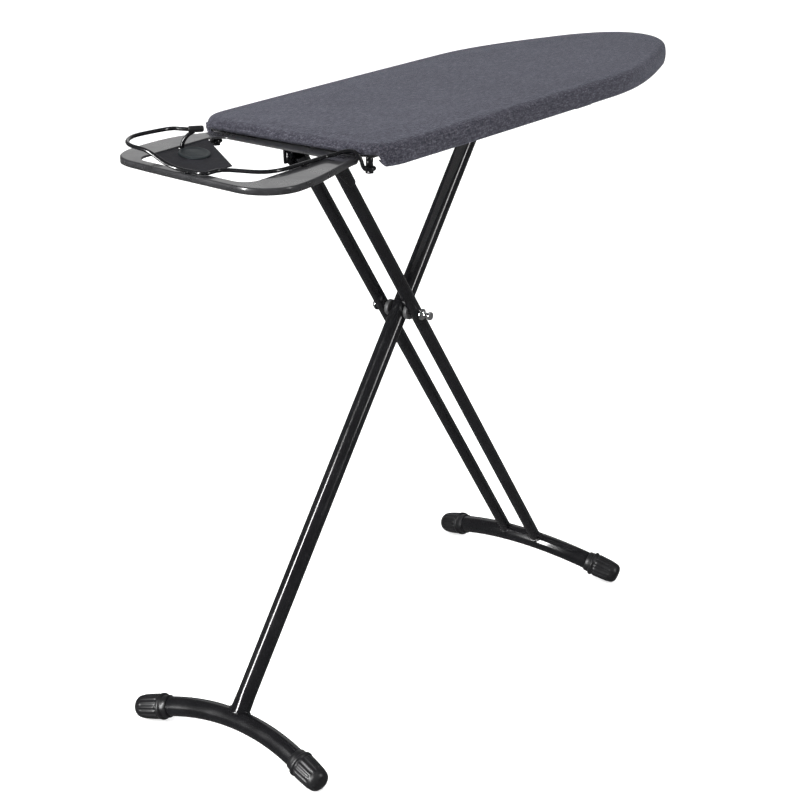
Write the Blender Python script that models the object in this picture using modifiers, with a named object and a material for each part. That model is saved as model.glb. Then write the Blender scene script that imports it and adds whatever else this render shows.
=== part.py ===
"""Folding ironing board with a padded cover, a pressed iron rest and a scissor leg frame.

Metres, +Z up. The floor is z = 0, the leg pivot bolt is at x = 0, the nose points to +X
and the board is symmetric about y = 0 apart from the iron rest's guard and the lock lever.
"""
from math import asin, cos, pi, sin

import bmesh
import bpy
from mathutils import Matrix, Vector

GAP = 0.0003            # kept between pieces that touch
RUNNING = 0.00008       # radial clearance of a turning fit

# Board
TOP_Z = 0.8971
HALF_WIDTH = 0.1705
REAR_HALF_WIDTH = 0.1655
REAR_X = -0.2675
NOSE_X = 0.713
SKIRT_BOTTOM = 0.8631
COVER_THICK = 0.0015
PAD_THICK = 0.0079
DECK_THICK = 0.0012
RIM_R = 0.003

# Iron rest
REST_TOP = 0.8786
REST_THICK = 0.0015
REST_RIM = 0.009
REST_REAR_X = -0.470
REST_FRONT_X = -0.218
OPEN_FRONT_X = -0.281
OPENING_CORNERS = [(-0.4600, -0.1035), (-0.4465, 0.1020), (OPEN_FRONT_X, 0.1070), (-0.2880, -0.0955)]
WIRE_R = 0.00275
HOOP_Z = 0.9021
SLEEVE_FROM = (-0.3531, 0.0911, HOOP_Z)
HOOP_END = (-0.3500, 0.0885, HOOP_Z)
BOLT_X = -0.2515
EYE_Y = 0.136
EYE_Z = 0.8616
EYE_R = 0.0062

# Frame under the deck
BRACE_THICK = 0.0015
BRACE_Z = 0.8771
STRAP_THICK = 0.003
RAIL_X = (0.165, 0.545)
RAIL_HALF = 0.0078

# Folding legs: both leg pins are on one line at HINGE_Z, as far from the pivot bolt as each other
PIVOT_Z = 0.5715
HINGE_Z = 0.8431
HINGE_X = 0.200
FRONT_FOOT = (-0.4155, 0.0291)
REAR_FOOT = (0.3797, 0.0317)
INNER_R = 0.014
OUTER_R = 0.010
OUTER_Y = 0.0311
LEG_WALL = 0.0012
BOLT_R = 0.004
SPACER_R = 0.0125
ROD_R = 0.004

# Feet
FOOT_R = 0.015
ARCH_R = 0.39
ARCH_RISE = 0.0205
FRONT_HALF = 0.1218
REAR_HALF = 0.128
BAR_INTO_CAP = 0.040
CAP_LENGTH = 0.0595

# Height lock
RACK_Y = -0.0478
RACK_THICK = 0.0025
RACK_BOTTOM = 0.8486
RACK_TOP = 0.8651
LEVER_X = 0.530
LEVER_Z = 0.8591
LEVER_PIN_R = 0.003
HANDLE_X = 0.270
RAIL_WINDOW_Z = (0.8511, 0.8731)

BLACK_PAINT = (0.012, 0.012, 0.014)


# ---------------------------------------------------------------- helpers

def clear_scene():
    for obj in list(bpy.data.objects):
        bpy.data.objects.remove(obj, do_unlink=True)


def collection(name):
    group = bpy.data.collections.new(name)
    bpy.context.scene.collection.children.link(group)
    return group


def material(name, colour, roughness, metallic=0.0):
    made = bpy.data.materials.new(name)
    made.use_nodes = True
    shader = made.node_tree.nodes["Principled BSDF"]
    shader.inputs["Base Color"].default_value = (*colour, 1.0)
    shader.inputs["Roughness"].default_value = roughness
    shader.inputs["Metallic"].default_value = metallic
    made.diffuse_color = (*colour, 1.0)
    return made


def pivot(name, x, z):
    empty = bpy.data.objects.new(name, None)
    empty.location = (x, 0.0, z)
    PARTS.objects.link(empty)
    return empty


def mesh_object(name, mesh, group=None):
    obj = bpy.data.objects.new(name, mesh)
    (group or PARTS).objects.link(obj)
    return obj


def from_bmesh(name, bm, group=None):
    mesh = bpy.data.meshes.new(name)
    bm.to_mesh(mesh)
    bm.free()
    return mesh_object(name, mesh, group)


def to_mesh(curve_obj, group=None):
    """Turn a curve object into a welded mesh object with the same name and place."""
    name = curve_obj.name
    bpy.context.view_layer.update()
    depsgraph = bpy.context.evaluated_depsgraph_get()
    mesh = bpy.data.meshes.new_from_object(curve_obj.evaluated_get(depsgraph))
    mesh.transform(curve_obj.matrix_world)
    curve = curve_obj.data
    bpy.data.objects.remove(curve_obj, do_unlink=True)
    bpy.data.curves.remove(curve)
    bm = bmesh.new()
    bm.from_mesh(mesh)
    bmesh.ops.remove_doubles(bm, verts=bm.verts, dist=1e-6)
    bmesh.ops.recalc_face_normals(bm, faces=bm.faces)
    bm.to_mesh(mesh)
    bm.free()
    return mesh_object(name, mesh, group)


def smooth(obj, angle=0.6):
    """Shade the round faces smooth and keep the edges sharper than the angle crisp."""
    for face in obj.data.polygons:
        face.use_smooth = True
    obj.data.set_sharp_from_angle(angle=angle)


def finish(obj, mat, parent=None, round_piece=False):
    obj.data.materials.clear()
    obj.data.materials.append(mat)
    if round_piece:
        smooth(obj)
    if parent:
        bpy.context.view_layer.update()
        obj.parent = parent
        obj.matrix_parent_inverse = parent.matrix_world.inverted()
    return obj


def box(name, low, high, group=None):
    bm = bmesh.new()
    bmesh.ops.create_cube(bm, size=1.0)
    low, high = Vector(low), Vector(high)
    size = high - low
    centre = (low + high) / 2
    bmesh.ops.transform(bm, verts=bm.verts, matrix=Matrix.Translation(centre) @ Matrix.Diagonal((*size, 1.0)))
    return from_bmesh(name, bm, group)


def cylinder(name, start, end, radius, segments=24, group=None):
    start, end = Vector(start), Vector(end)
    axis = end - start
    bm = bmesh.new()
    bmesh.ops.create_cone(bm, cap_ends=True, segments=segments, radius1=radius, radius2=radius,
                          depth=axis.length)
    turn = axis.to_track_quat("Z", "Y").to_matrix().to_4x4()
    bmesh.ops.transform(bm, verts=bm.verts, matrix=Matrix.Translation((start + end) / 2) @ turn)
    return from_bmesh(name, bm, group)


def apply_modifiers(obj):
    bpy.context.view_layer.update()
    depsgraph = bpy.context.evaluated_depsgraph_get()
    mesh = bpy.data.meshes.new_from_object(obj.evaluated_get(depsgraph))
    obj.modifiers.clear()
    obj.data = mesh
    return obj


def boolean(obj, tool, operation):
    """Apply an exact boolean; a cutter stays in the cutter collection, a joined piece is removed."""
    modifier = obj.modifiers.new(operation.lower(), "BOOLEAN")
    modifier.solver = "EXACT"
    modifier.operation = operation
    modifier.object = tool
    apply_modifiers(obj)
    if operation == "UNION":
        bpy.data.objects.remove(tool, do_unlink=True)
    else:
        tool.hide_render = True
        tool.display_type = "WIRE"
    return obj


def cut(obj, *tools):
    for tool in tools:
        boolean(obj, tool, "DIFFERENCE")
    return obj


def curve_object(name, points, cyclic=False):
    curve = bpy.data.curves.new(name, "CURVE")
    curve.dimensions = "3D"
    spline = curve.splines.new("POLY")
    spline.points.add(len(points) - 1)
    for knot, place in zip(spline.points, points):
        knot.co = (*place, 1.0)
    spline.use_cyclic_u = cyclic
    obj = bpy.data.objects.new(name, curve)
    PARTS.objects.link(obj)
    return obj


def wire(name, points, radius, resolution=2, cyclic=False, group=None):
    obj = curve_object(name, points, cyclic)
    obj.data.bevel_depth = radius
    obj.data.bevel_resolution = resolution
    obj.data.use_fill_caps = not cyclic
    return to_mesh(obj, group)


def hollow_tube(name, points, radius, wall, resolution=4):
    """Thin-walled tube with open ends along a line of points."""
    obj = wire(name, points, radius, resolution)
    bm = bmesh.new()
    bm.from_mesh(obj.data)
    rims = [Vector(points[0]), Vector(points[-1])]
    ends = [face for face in bm.faces
            if any(all((v.co - rim).length < radius * 1.01 for v in face.verts) for rim in rims)]
    bmesh.ops.delete(bm, geom=ends, context="FACES")
    bm.to_mesh(obj.data)
    bm.free()
    skin = obj.modifiers.new("wall", "SOLIDIFY")
    skin.thickness = wall
    skin.offset = -1.0
    skin.use_rim = True
    return apply_modifiers(obj)


def flat_outline(name, loops, z_low, z_high, group=None):
    """Solid plate from closed outlines; the second and later outlines are holes."""
    curve = bpy.data.curves.new(name, "CURVE")
    curve.dimensions = "2D"
    curve.fill_mode = "BOTH"
    curve.extrude = (z_high - z_low) / 2
    for loop in loops:
        spline = curve.splines.new("POLY")
        spline.points.add(len(loop) - 1)
        for knot, (x, y) in zip(spline.points, loop):
            knot.co = (x, y, 0.0, 1.0)
        spline.use_cyclic_u = True
    obj = bpy.data.objects.new(name, curve)
    obj.location = (0.0, 0.0, (z_low + z_high) / 2)
    (group or PARTS).objects.link(obj)
    return to_mesh(obj, group)


def side_outline(name, loop, y_low, y_high, group=None):
    """Solid plate standing in the XZ plane from a closed outline of (x, z) points."""
    obj = flat_outline(name, [loop], -(y_high - y_low) / 2, (y_high - y_low) / 2, group)
    turn = Matrix.Translation((0.0, (y_low + y_high) / 2, 0.0)) @ Matrix.Rotation(pi / 2, 4, "X")
    obj.data.transform(turn)
    return obj


def bezier_points(knots, steps):
    """Points along cubic segments; each segment is (start, handle, handle, end)."""
    line = []
    for start, first, second, end in knots:
        for step in range(steps):
            t = step / steps
            weights = ((1 - t) ** 3, 3 * t * (1 - t) ** 2, 3 * t * t * (1 - t), t ** 3)
            line.append(tuple(sum(w * p[axis] for w, p in zip(weights, (start, first, second, end)))
                              for axis in (0, 1)))
    line.append(knots[-1][3])
    return line


def mirrored(half):
    """Close a half outline, which starts and ends on y = 0, with its mirror image."""
    return half + [(x, -y) for x, y in reversed(half[1:-1])]


def inset(loop, distance):
    """Move a closed clockwise outline inwards."""
    moved = []
    count = len(loop)
    for index, (x, y) in enumerate(loop):
        before = loop[index - 1]
        after = loop[(index + 1) % count]
        along = Vector((after[0] - before[0], after[1] - before[1])).normalized()
        moved.append((x + along.y * distance, y - along.x * distance))
    return moved


def rounded_polygon(corners, radius, steps=4):
    """Closed outline whose corners are rounded with arcs of the given radius."""
    loop = []
    count = len(corners)
    for index, corner in enumerate(corners):
        here = Vector(corner)
        back = (Vector(corners[index - 1]) - here).normalized()
        on = (Vector(corners[(index + 1) % count]) - here).normalized()
        half = back.angle(on) / 2
        run = radius / (sin(half) / cos(half))
        centre = here + (back + on).normalized() * (radius / sin(half))
        start = here + back * run - centre
        sweep = start.angle_signed(here + on * run - centre)
        for step in range(steps + 1):
            turned = start.copy()
            turned.rotate(Matrix.Rotation(-sweep * step / steps, 2))
            loop.append(tuple(centre + turned))
    return loop


# ---------------------------------------------------------------- outlines

def board_outline(steps=10):
    """Outline of the cover seen from above, clockwise from the middle of the rear edge."""
    half = bezier_points([
        ((REAR_X, 0.0), (REAR_X, 0.040), (REAR_X + 0.001, 0.085), (REAR_X + 0.002, 0.118)),
        ((REAR_X + 0.002, 0.118), (REAR_X + 0.004, 0.150), (-0.240, REAR_HALF_WIDTH),
         (-0.205, REAR_HALF_WIDTH)),
        ((-0.205, REAR_HALF_WIDTH), (-0.050, REAR_HALF_WIDTH + 0.003), (0.180, HALF_WIDTH),
         (0.330, HALF_WIDTH)),
        ((0.330, HALF_WIDTH), (0.430, HALF_WIDTH), (0.520, 0.137), (0.600, 0.108)),
        ((0.600, 0.108), (0.670, 0.082), (NOSE_X, 0.045), (NOSE_X, 0.0)),
    ], steps)
    return mirrored(half)


def rest_outline(steps=6):
    """Outer edge of the iron rest, clockwise from the middle of its rear edge.

    The plate is a little skewed: its right rear corner reaches further back than its left one."""
    left = bezier_points([
        ((REST_REAR_X, 0.0), (REST_REAR_X + 0.0025, 0.035), (REST_REAR_X + 0.006, 0.070),
         (REST_REAR_X + 0.0095, 0.098)),
        ((REST_REAR_X + 0.0095, 0.098), (REST_REAR_X + 0.013, 0.126), (-0.440, 0.1440), (-0.410, 0.1490)),
        ((-0.410, 0.1490), (-0.385, 0.1530), (-0.350, 0.1545), (-0.325, 0.1500)),
        ((-0.325, 0.1500), (-0.300, 0.1455), (-0.285, 0.134), (-0.262, 0.128)),
    ], steps)
    right = bezier_points([
        ((REST_REAR_X, 0.0), (REST_REAR_X - 0.002, 0.035), (REST_REAR_X - 0.005, 0.070),
         (REST_REAR_X - 0.0065, 0.100)),
        ((REST_REAR_X - 0.0065, 0.100), (REST_REAR_X - 0.008, 0.135), (-0.452, 0.1580), (-0.424, 0.1580)),
        ((-0.424, 0.1580), (-0.400, 0.1580), (-0.370, 0.152), (-0.345, 0.1455)),
        ((-0.345, 0.1455), (-0.315, 0.138), (-0.290, 0.129), (-0.262, 0.128)),
    ], steps)
    under_cover = [(-0.2590, 0.128), (-0.2575, 0.130), (-0.2570, 0.1450), (-0.2555, 0.1465),
                   (REST_FRONT_X, 0.1465)]
    return left + under_cover + [(x, -y) for x, y in reversed(right[1:] + under_cover)]


def opening_outline():
    return rounded_polygon(OPENING_CORNERS, 0.022, 5)


# ---------------------------------------------------------------- board

def padded_slab(name, edge, z_low, z_high, bevel, segments, group=None):
    """Slab with the board's outline whose upper edge is rounded."""
    obj = flat_outline(name, [inset(board_outline(), edge)], z_low, z_high, group)
    bm = bmesh.new()
    bm.from_mesh(obj.data)
    upper = [e for e in bm.edges if e.is_manifold and all(abs(v.co.z - z_high) < 1e-5 for v in e.verts)
             and e.calc_face_angle() > 0.5]
    bmesh.ops.bevel(bm, geom=upper, offset=bevel, segments=segments, profile=0.5, affect="EDGES")
    bm.to_mesh(obj.data)
    bm.free()
    return obj


def make_cover():
    outer = padded_slab("cover", 0.0, SKIRT_BOTTOM, TOP_Z, 0.009, 3)
    hollow = padded_slab("cover_hollow", COVER_THICK, SKIRT_BOTTOM - 0.01, TOP_Z - COVER_THICK,
                         0.0068, 3, CUTTERS)
    rear_cut = box("cover_rear_cut", (-0.30, -0.2, SKIRT_BOTTOM - 0.01), (-0.214, 0.2, REST_TOP + 0.0007),
                   CUTTERS)
    cut(outer, hollow, rear_cut)
    finish(outer, FABRIC, round_piece=True)


def make_pad():
    top = TOP_Z - COVER_THICK - GAP
    pad = padded_slab("pad", COVER_THICK + 2 * GAP, top - PAD_THICK, top, 0.0076, 3)
    finish(pad, FELT)


def deck_top():
    return TOP_Z - COVER_THICK - PAD_THICK - 2 * GAP


def make_deck():
    top = deck_top()
    deck = flat_outline("deck", [inset(board_outline(), 0.004)], top - DECK_THICK, top)
    finish(deck, STEEL)
    rim_z = top - DECK_THICK - GAP - RIM_R
    loop = [(x, y, rim_z) for x, y in inset(board_outline(8), 0.004 + RIM_R)]
    rim = wire("deck_rim", loop, RIM_R, 1, cyclic=True)
    finish(rim, STEEL, round_piece=True)


def make_braces():
    """Flat cross braces under the deck that carry the leg brackets and the rails."""
    for name, x_low, x_high, half in (("rear_brace", REST_FRONT_X + 0.001, -0.180, 0.150),
                                      ("middle_brace", 0.172, 0.204, 0.155),
                                      ("front_brace", 0.500, 0.532, 0.120)):
        brace = box(name, (x_low, -half, BRACE_Z), (x_high, half, BRACE_Z + BRACE_THICK))
        finish(brace, PAINT)


def make_rails():
    """Channel rails that guide the sliding rod of the inner leg."""
    base = BRACE_Z - GAP
    low = HINGE_Z - RAIL_HALF
    high = HINGE_Z + RAIL_HALF
    lip = 0.0015
    for side, name in ((1, "rail_left"), (-1, "rail_right")):
        section = [(0.0530, low), (0.0655, low), (0.0655, base - lip), (0.0780, base - lip),
                   (0.0780, base), (0.0640, base), (0.0640, high), (0.0530, high),
                   (0.0530, high - lip), (0.0640, high - lip), (0.0640, low + lip), (0.0530, low + lip)]
        half_length = (RAIL_X[1] - RAIL_X[0]) / 2
        rail = flat_outline(name, [section], -half_length, half_length)
        turn = Matrix(((0, 0, 1), (1, 0, 0), (0, 1, 0))).to_4x4()
        rail.data.transform(Matrix.Translation(((RAIL_X[0] + RAIL_X[1]) / 2, 0, 0)) @ turn)
        if side < 0:
            rail.data.transform(Matrix.Diagonal((1, -1, 1, 1)))
            rail.data.flip_normals()
            window = box("rail_window", (HANDLE_X - 0.012, -0.070, RAIL_WINDOW_Z[0]),
                         (HANDLE_X + 0.012, -0.060, RAIL_WINDOW_Z[1]), CUTTERS)
            pin_hole = cylinder("rail_pin_hole", (LEVER_X, -0.070, LEVER_Z), (LEVER_X, -0.060, LEVER_Z),
                                LEVER_PIN_R + GAP, 20, CUTTERS)
            cut(rail, window, pin_hole)
        finish(rail, PAINT)


# ---------------------------------------------------------------- iron rest

def make_rest_plate():
    """Pressed plate: rim turned down outside, opening in the middle, flange at the board's end."""
    outline = rest_outline()
    under = REST_TOP - REST_THICK
    plate = flat_outline("rest_plate", [outline], REST_TOP - REST_RIM, REST_TOP)
    pocket = flat_outline("rest_pocket", [inset(outline, REST_THICK)], REST_TOP - 0.03, under, CUTTERS)
    front_cut = box("rest_rim_cut", (-0.2605, -0.2, REST_TOP - 0.03), (-0.20, 0.2, under), CUTTERS)
    cut(plate, pocket, front_cut)
    flange = box("rest_flange", (OPEN_FRONT_X - 0.002, -0.070, REST_TOP - REST_RIM),
                 (OPEN_FRONT_X + REST_THICK, 0.070, REST_TOP - REST_THICK / 2))
    boolean(plate, flange, "UNION")
    opening = flat_outline("rest_opening", [opening_outline()], REST_TOP - 0.03, REST_TOP + 0.01, CUTTERS)
    cut(plate, opening)
    for side in (1, -1):
        for x, y in ((BOLT_X, EYE_Y), (-0.232, 0.115)):
            hole = cylinder("rest_hole", (x, side * y, REST_TOP - 0.02), (x, side * y, REST_TOP + 0.01),
                            0.0028, 12, CUTTERS)
            cut(plate, hole)
    finish(plate, PAINT)


def make_rest_straps():
    """Flat straps that tie the rest plate to the rear brace, with a rivet through each joint."""
    top = REST_TOP - REST_THICK - GAP
    for side, word in ((1, "left"), (-1, "right")):
        strap = box("rest_strap_" + word, (-0.245, side * 0.115 - 0.009, top - STRAP_THICK),
                    (-0.150, side * 0.115 + 0.009, top))
        for index, x in enumerate((-0.232, -0.195)):
            hole = cylinder("strap_hole", (x, side * 0.115, top - 0.01), (x, side * 0.115, top + 0.01),
                            0.0028, 12, CUTTERS)
            cut(strap, hole)
            rivet = cylinder("rest_rivet_%s_%d" % (word, index + 1), (x, side * 0.115, top - 0.0055),
                             (x, side * 0.115, REST_TOP - 0.0004), 0.0025, 12)
            head = cylinder("rivet_head", (x, side * 0.115, top - 0.0055),
                            (x, side * 0.115, top - STRAP_THICK - GAP), 0.0045, 16)
            boolean(rivet, head, "UNION")
            finish(rivet, ZINC, round_piece=True)
        finish(strap, PAINT)
    brace = bpy.data.objects["rear_brace"]
    for side in (1, -1):
        hole = cylinder("brace_hole", (-0.195, side * 0.115, BRACE_Z - 0.01),
                        (-0.195, side * 0.115, BRACE_Z + 0.01), 0.0028, 12, CUTTERS)
        cut(brace, hole)


PANEL_CORNERS = [(-0.462, -0.020), (-0.462, 0.010), (-0.402, 0.112), (-0.3646, 0.112), (-0.3646, 0.0953),
                 (-0.3572, 0.0953), (-0.3572, 0.112), (-0.296, 0.112), (-0.393, -0.020)]
PAD_CENTRE = (-0.376, 0.062)


def make_heel_panel():
    """Heat-proof panel across the rear left corner of the opening, with a raised oval pad."""
    top = REST_TOP - REST_THICK - GAP
    panel = flat_outline("heel_panel", [rounded_polygon(PANEL_CORNERS, 0.0034, 3)], top - 0.0015, top)
    finish(panel, MATTE)
    oval = []
    for step in range(28):
        angle = 2 * pi * step / 28
        along, across = 0.033 * cos(angle), 0.021 * sin(angle)
        turn = 0.94
        oval.append((PAD_CENTRE[0] + along * cos(turn) - across * sin(turn),
                     PAD_CENTRE[1] + along * sin(turn) + across * cos(turn)))
    pad = flat_outline("heel_pad", [oval], top + GAP, top + GAP + 0.0022)
    finish(pad, SILICONE)


def eye_points(side, turns=0.80, steps=16):
    """Horizontal ring around the guard bolt, ending where the wire climbs over the rest's arm."""
    points = []
    for step in range(steps + 1):
        angle = pi - side * 2 * pi * turns * (1 - step / steps)
        points.append((BOLT_X + EYE_R * cos(angle), side * EYE_Y + EYE_R * sin(angle), EYE_Z))
    return points


def make_guard():
    """Wire guard that lies along the opening and rises into a hoop at the rear left corner."""
    rest = REST_TOP + GAP + WIRE_R
    over_arm = [(-0.2615, -0.1360, 0.8626), (-0.2660, -0.1360, 0.8676), (-0.2685, -0.1355, 0.8746),
                (-0.2705, -0.1330, 0.8816), (-0.2730, -0.1275, 0.8866), (-0.2770, -0.1210, 0.8878),
                (-0.2830, -0.1145, 0.8866), (-0.2905, -0.1080, 0.8838)]
    near = [(-0.302, -0.1000, rest), (-0.340, -0.1010, rest), (-0.372, -0.1010, rest),
            (-0.3920, -0.0990, rest), (-0.4080, -0.0915, rest), (-0.4175, -0.0790, rest),
            (-0.4240, -0.0620, rest), (-0.4300, -0.0470, rest), (-0.4370, -0.0390, rest),
            (-0.4470, -0.0365, rest), (-0.4570, -0.0360, rest), (-0.4625, -0.0320, rest),
            (-0.4645, -0.0220, rest), (-0.4640, 0.0040, rest), (-0.4655, 0.0180, rest + 0.002),
            (-0.4685, 0.0320, rest + 0.0075), (-0.4710, 0.0470, rest + 0.0155),
            (-0.4720, 0.0600, HOOP_Z - 0.001), (-0.4715, 0.0740, HOOP_Z), (-0.4680, 0.0880, HOOP_Z),
            (-0.4600, 0.1015, HOOP_Z), (-0.4490, 0.1120, HOOP_Z), (-0.4350, 0.1200, HOOP_Z),
            (-0.4180, 0.1235, HOOP_Z), (-0.3900, 0.1205, HOOP_Z), (-0.3700, 0.1165, HOOP_Z),
            (-0.3610, 0.1110, HOOP_Z), (-0.3575, 0.1020, HOOP_Z), SLEEVE_FROM, HOOP_END]
    guard = wire("guard_wire", eye_points(-1) + over_arm + near, WIRE_R, 2)
    finish(guard, PAINT, round_piece=True)
    far = [(-0.2645, 0.1360, EYE_Z), (-0.2800, 0.1335, 0.8620), (-0.3050, 0.1265, 0.8630),
           (-0.3300, 0.1165, 0.8640), (-0.3480, 0.1065, 0.8650), (-0.3570, 0.1010, 0.8675),
           (-0.3608, 0.0992, 0.8725), (-0.3610, 0.0985, 0.8790), (-0.3600, 0.0972, 0.8850),
           (-0.3575, 0.0950, 0.8910), (-0.3545, 0.0925, HOOP_Z - 2 * WIRE_R - GAP)]
    strut = wire("guard_strut", eye_points(1) + far, WIRE_R, 2)
    finish(strut, PAINT, round_piece=True)
    tip = Vector(HOOP_END)
    heading = (tip - Vector(SLEEVE_FROM)).normalized()
    sleeve = cylinder("guard_sleeve", tip + heading * GAP, tip + heading * 0.0155, 0.0045, 20)
    finish(sleeve, RUBBER, round_piece=True)
    for side, word in ((1, "left"), (-1, "right")):
        x, y = BOLT_X, side * EYE_Y
        bolt = cylinder("guard_bolt_" + word, (x, y, EYE_Z - WIRE_R - 0.0035),
                        (x, y, REST_TOP - 0.0004), 0.0025, 16)
        head = cylinder("bolt_head", (x, y, EYE_Z - WIRE_R - 0.0035), (x, y, EYE_Z - WIRE_R - GAP), 0.006, 6)
        boolean(bolt, head, "UNION")
        collar = cylinder("bolt_collar", (x, y, EYE_Z + WIRE_R + GAP),
                          (x, y, REST_TOP - REST_THICK - GAP), 0.005, 16)
        boolean(bolt, collar, "UNION")
        finish(bolt, ZINC)


# ---------------------------------------------------------------- legs

def leg_line(foot_at):
    """Foot centre, unit vector up the leg, and the distance from the foot to the pivot."""
    foot = Vector((foot_at[0], 0.0, foot_at[1]))
    up = Vector((0.0, 0.0, PIVOT_Z)) - foot
    return foot, up.normalized(), up.length


def arch_points(foot_at, half, extra=0.0, steps=14):
    """Centre line of a foot bar: an arc in the leg's own plane with straight ends in the caps."""
    foot, up, _ = leg_line(foot_at)
    edge = asin(half / ARCH_R)
    points = []
    for step in range(steps + 1):
        angle = edge * (2 * step / steps - 1)
        points.append(foot + Vector((0, ARCH_R * sin(angle), 0))
                      + up * (ARCH_RISE - ARCH_R * (1 - cos(angle))))
    along = {side: Vector((0, side * cos(edge), 0)) - up * sin(edge) for side in (1, -1)}
    points.insert(0, points[0] + along[-1] * (BAR_INTO_CAP + extra))
    points.append(points[-1] + along[1] * (BAR_INTO_CAP + extra))
    return points, along


def make_foot_bar(name, foot_at, half, parent):
    points, _ = arch_points(foot_at, half)
    bar = hollow_tube(name, points, FOOT_R, LEG_WALL, 4)
    finish(bar, PAINT, parent, round_piece=True)


def make_foot_cap(name, foot_at, half, side, parent):
    """Rubber cap: a short sleeve, a raised ring and a grip body with a rounded end."""
    points, along = arch_points(foot_at, half)
    bore = FOOT_R + GAP
    profile = [(bore, 0.0), (0.0168, 0.0), (0.0172, 0.0095), (0.0198, 0.0102), (0.0202, 0.0120),
               (0.0198, 0.0145), (0.0188, 0.0152), (0.0188, 0.0440), (0.0180, 0.0500),
               (0.0155, 0.0550), (0.0105, 0.0585), (0.0, CAP_LENGTH), (0.0, BAR_INTO_CAP + GAP),
               (bore, BAR_INTO_CAP + GAP)]
    bm = bmesh.new()
    verts = [bm.verts.new((radius, 0.0, height)) for radius, height in profile]
    for first, second in zip(verts, verts[1:] + verts[:1]):
        if first.co.x > 0 or second.co.x > 0:
            bm.edges.new((first, second))
    cap = from_bmesh(name, bm)
    screw = cap.modifiers.new("turn", "SCREW")
    screw.steps = 28
    screw.render_steps = 28
    screw.use_merge_vertices = True
    screw.merge_threshold = 1e-5
    screw.use_normal_calculate = True
    apply_modifiers(cap)
    start = points[-2] if side > 0 else points[1]
    turn = along[side].to_track_quat("Z", "X").to_matrix().to_4x4()
    cap.data.transform(Matrix.Translation(start) @ turn)
    bm = bmesh.new()
    bm.from_mesh(cap.data)
    bmesh.ops.recalc_face_normals(bm, faces=bm.faces)
    bm.to_mesh(cap.data)
    bm.free()
    finish(cap, RUBBER, parent, round_piece=True)


def coped_tube(name, foot_at, half, y, radius, top_distance):
    """Leg tube whose lower end is shaped to sit on the foot bar."""
    foot, up, _ = leg_line(foot_at)
    offset = Vector((0.0, y, 0.0))
    tube = hollow_tube(name, [foot + offset + up * (ARCH_RISE - 0.001), foot + offset + up * top_distance],
                       radius, LEG_WALL, 6)
    points, _ = arch_points(foot_at, half)
    saddle = wire(name + "_saddle", points, FOOT_R + GAP, 4, group=CUTTERS)
    return cut(tube, saddle)


def make_inner_leg(parent):
    foot, up, to_pivot = leg_line(FRONT_FOOT)
    rise = (HINGE_Z - PIVOT_Z) / up.z
    tube = coped_tube("inner_tube", FRONT_FOOT, FRONT_HALF, 0.0, INNER_R, to_pivot + rise + 0.012)
    bolt_hole = cylinder("inner_bolt_hole", (0, -0.03, PIVOT_Z), (0, 0.03, PIVOT_Z),
                         BOLT_R + RUNNING, 24, CUTTERS)
    rod_hole = cylinder("inner_rod_hole", (HINGE_X, -0.03, HINGE_Z), (HINGE_X, 0.03, HINGE_Z),
                        ROD_R + GAP, 20, CUTTERS)
    cut(tube, bolt_hole, rod_hole)
    finish(tube, PAINT, parent, round_piece=True)
    plug_low = foot + up * (to_pivot + rise + 0.012 + GAP)
    plug = cylinder("inner_tube_plug", plug_low, plug_low + up * 0.003, INNER_R - 0.0005, 24)
    finish(plug, RUBBER, parent)
    rod = cylinder("slider_rod", (HINGE_X, -0.0525, HINGE_Z), (HINGE_X, 0.0525, HINGE_Z), ROD_R, 20)
    finish(rod, ZINC, parent, round_piece=True)
    for side, word in ((1, "left"), (-1, "right")):
        low, high = sorted((side * 0.0528, side * 0.0620))
        glide = cylinder("slider_glide_" + word, (HINGE_X, low, HINGE_Z), (HINGE_X, high, HINGE_Z), 0.0045, 20)
        finish(glide, NYLON, parent, round_piece=True)


def make_outer_leg(parent):
    foot, up, to_pivot = leg_line(REAR_FOOT)
    rise = (HINGE_Z - PIVOT_Z) / up.z
    top_x = foot.x + up.x * (to_pivot + rise)
    for side, word in ((1, "left"), (-1, "right")):
        tube = coped_tube("outer_tube_" + word, REAR_FOOT, REAR_HALF, side * OUTER_Y, OUTER_R,
                          to_pivot + rise + 0.004)
        hole = cylinder("outer_bolt_hole", (0, side * 0.015, PIVOT_Z), (0, side * 0.05, PIVOT_Z),
                        BOLT_R + GAP, 20, CUTTERS)
        cut(tube, hole)
        finish(tube, PAINT, parent, round_piece=True)
        inner_face = OUTER_Y + OUTER_R + GAP
        low, high = sorted((side * inner_face, side * (inner_face + 0.0025)))
        tail = up * -0.042
        loop = rounded_polygon([(-HINGE_X - 0.0095, HINGE_Z - 0.007), (-HINGE_X - 0.0095, HINGE_Z + 0.0095),
                                (-HINGE_X + 0.0105, HINGE_Z + 0.0095), (top_x + 0.009, HINGE_Z - 0.004),
                                (top_x + tail.x + 0.006, HINGE_Z + tail.z),
                                (top_x + tail.x - 0.007, HINGE_Z + tail.z - 0.004)], 0.004, 3)
        lug = side_outline("leg_lug_" + word, loop, low, high)
        pin_hole = cylinder("lug_hole", (-HINGE_X, low - 0.01, HINGE_Z), (-HINGE_X, high + 0.01, HINGE_Z),
                            BOLT_R + RUNNING, 24, CUTTERS)
        cut(lug, pin_hole)
        finish(lug, PAINT, parent)


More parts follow.
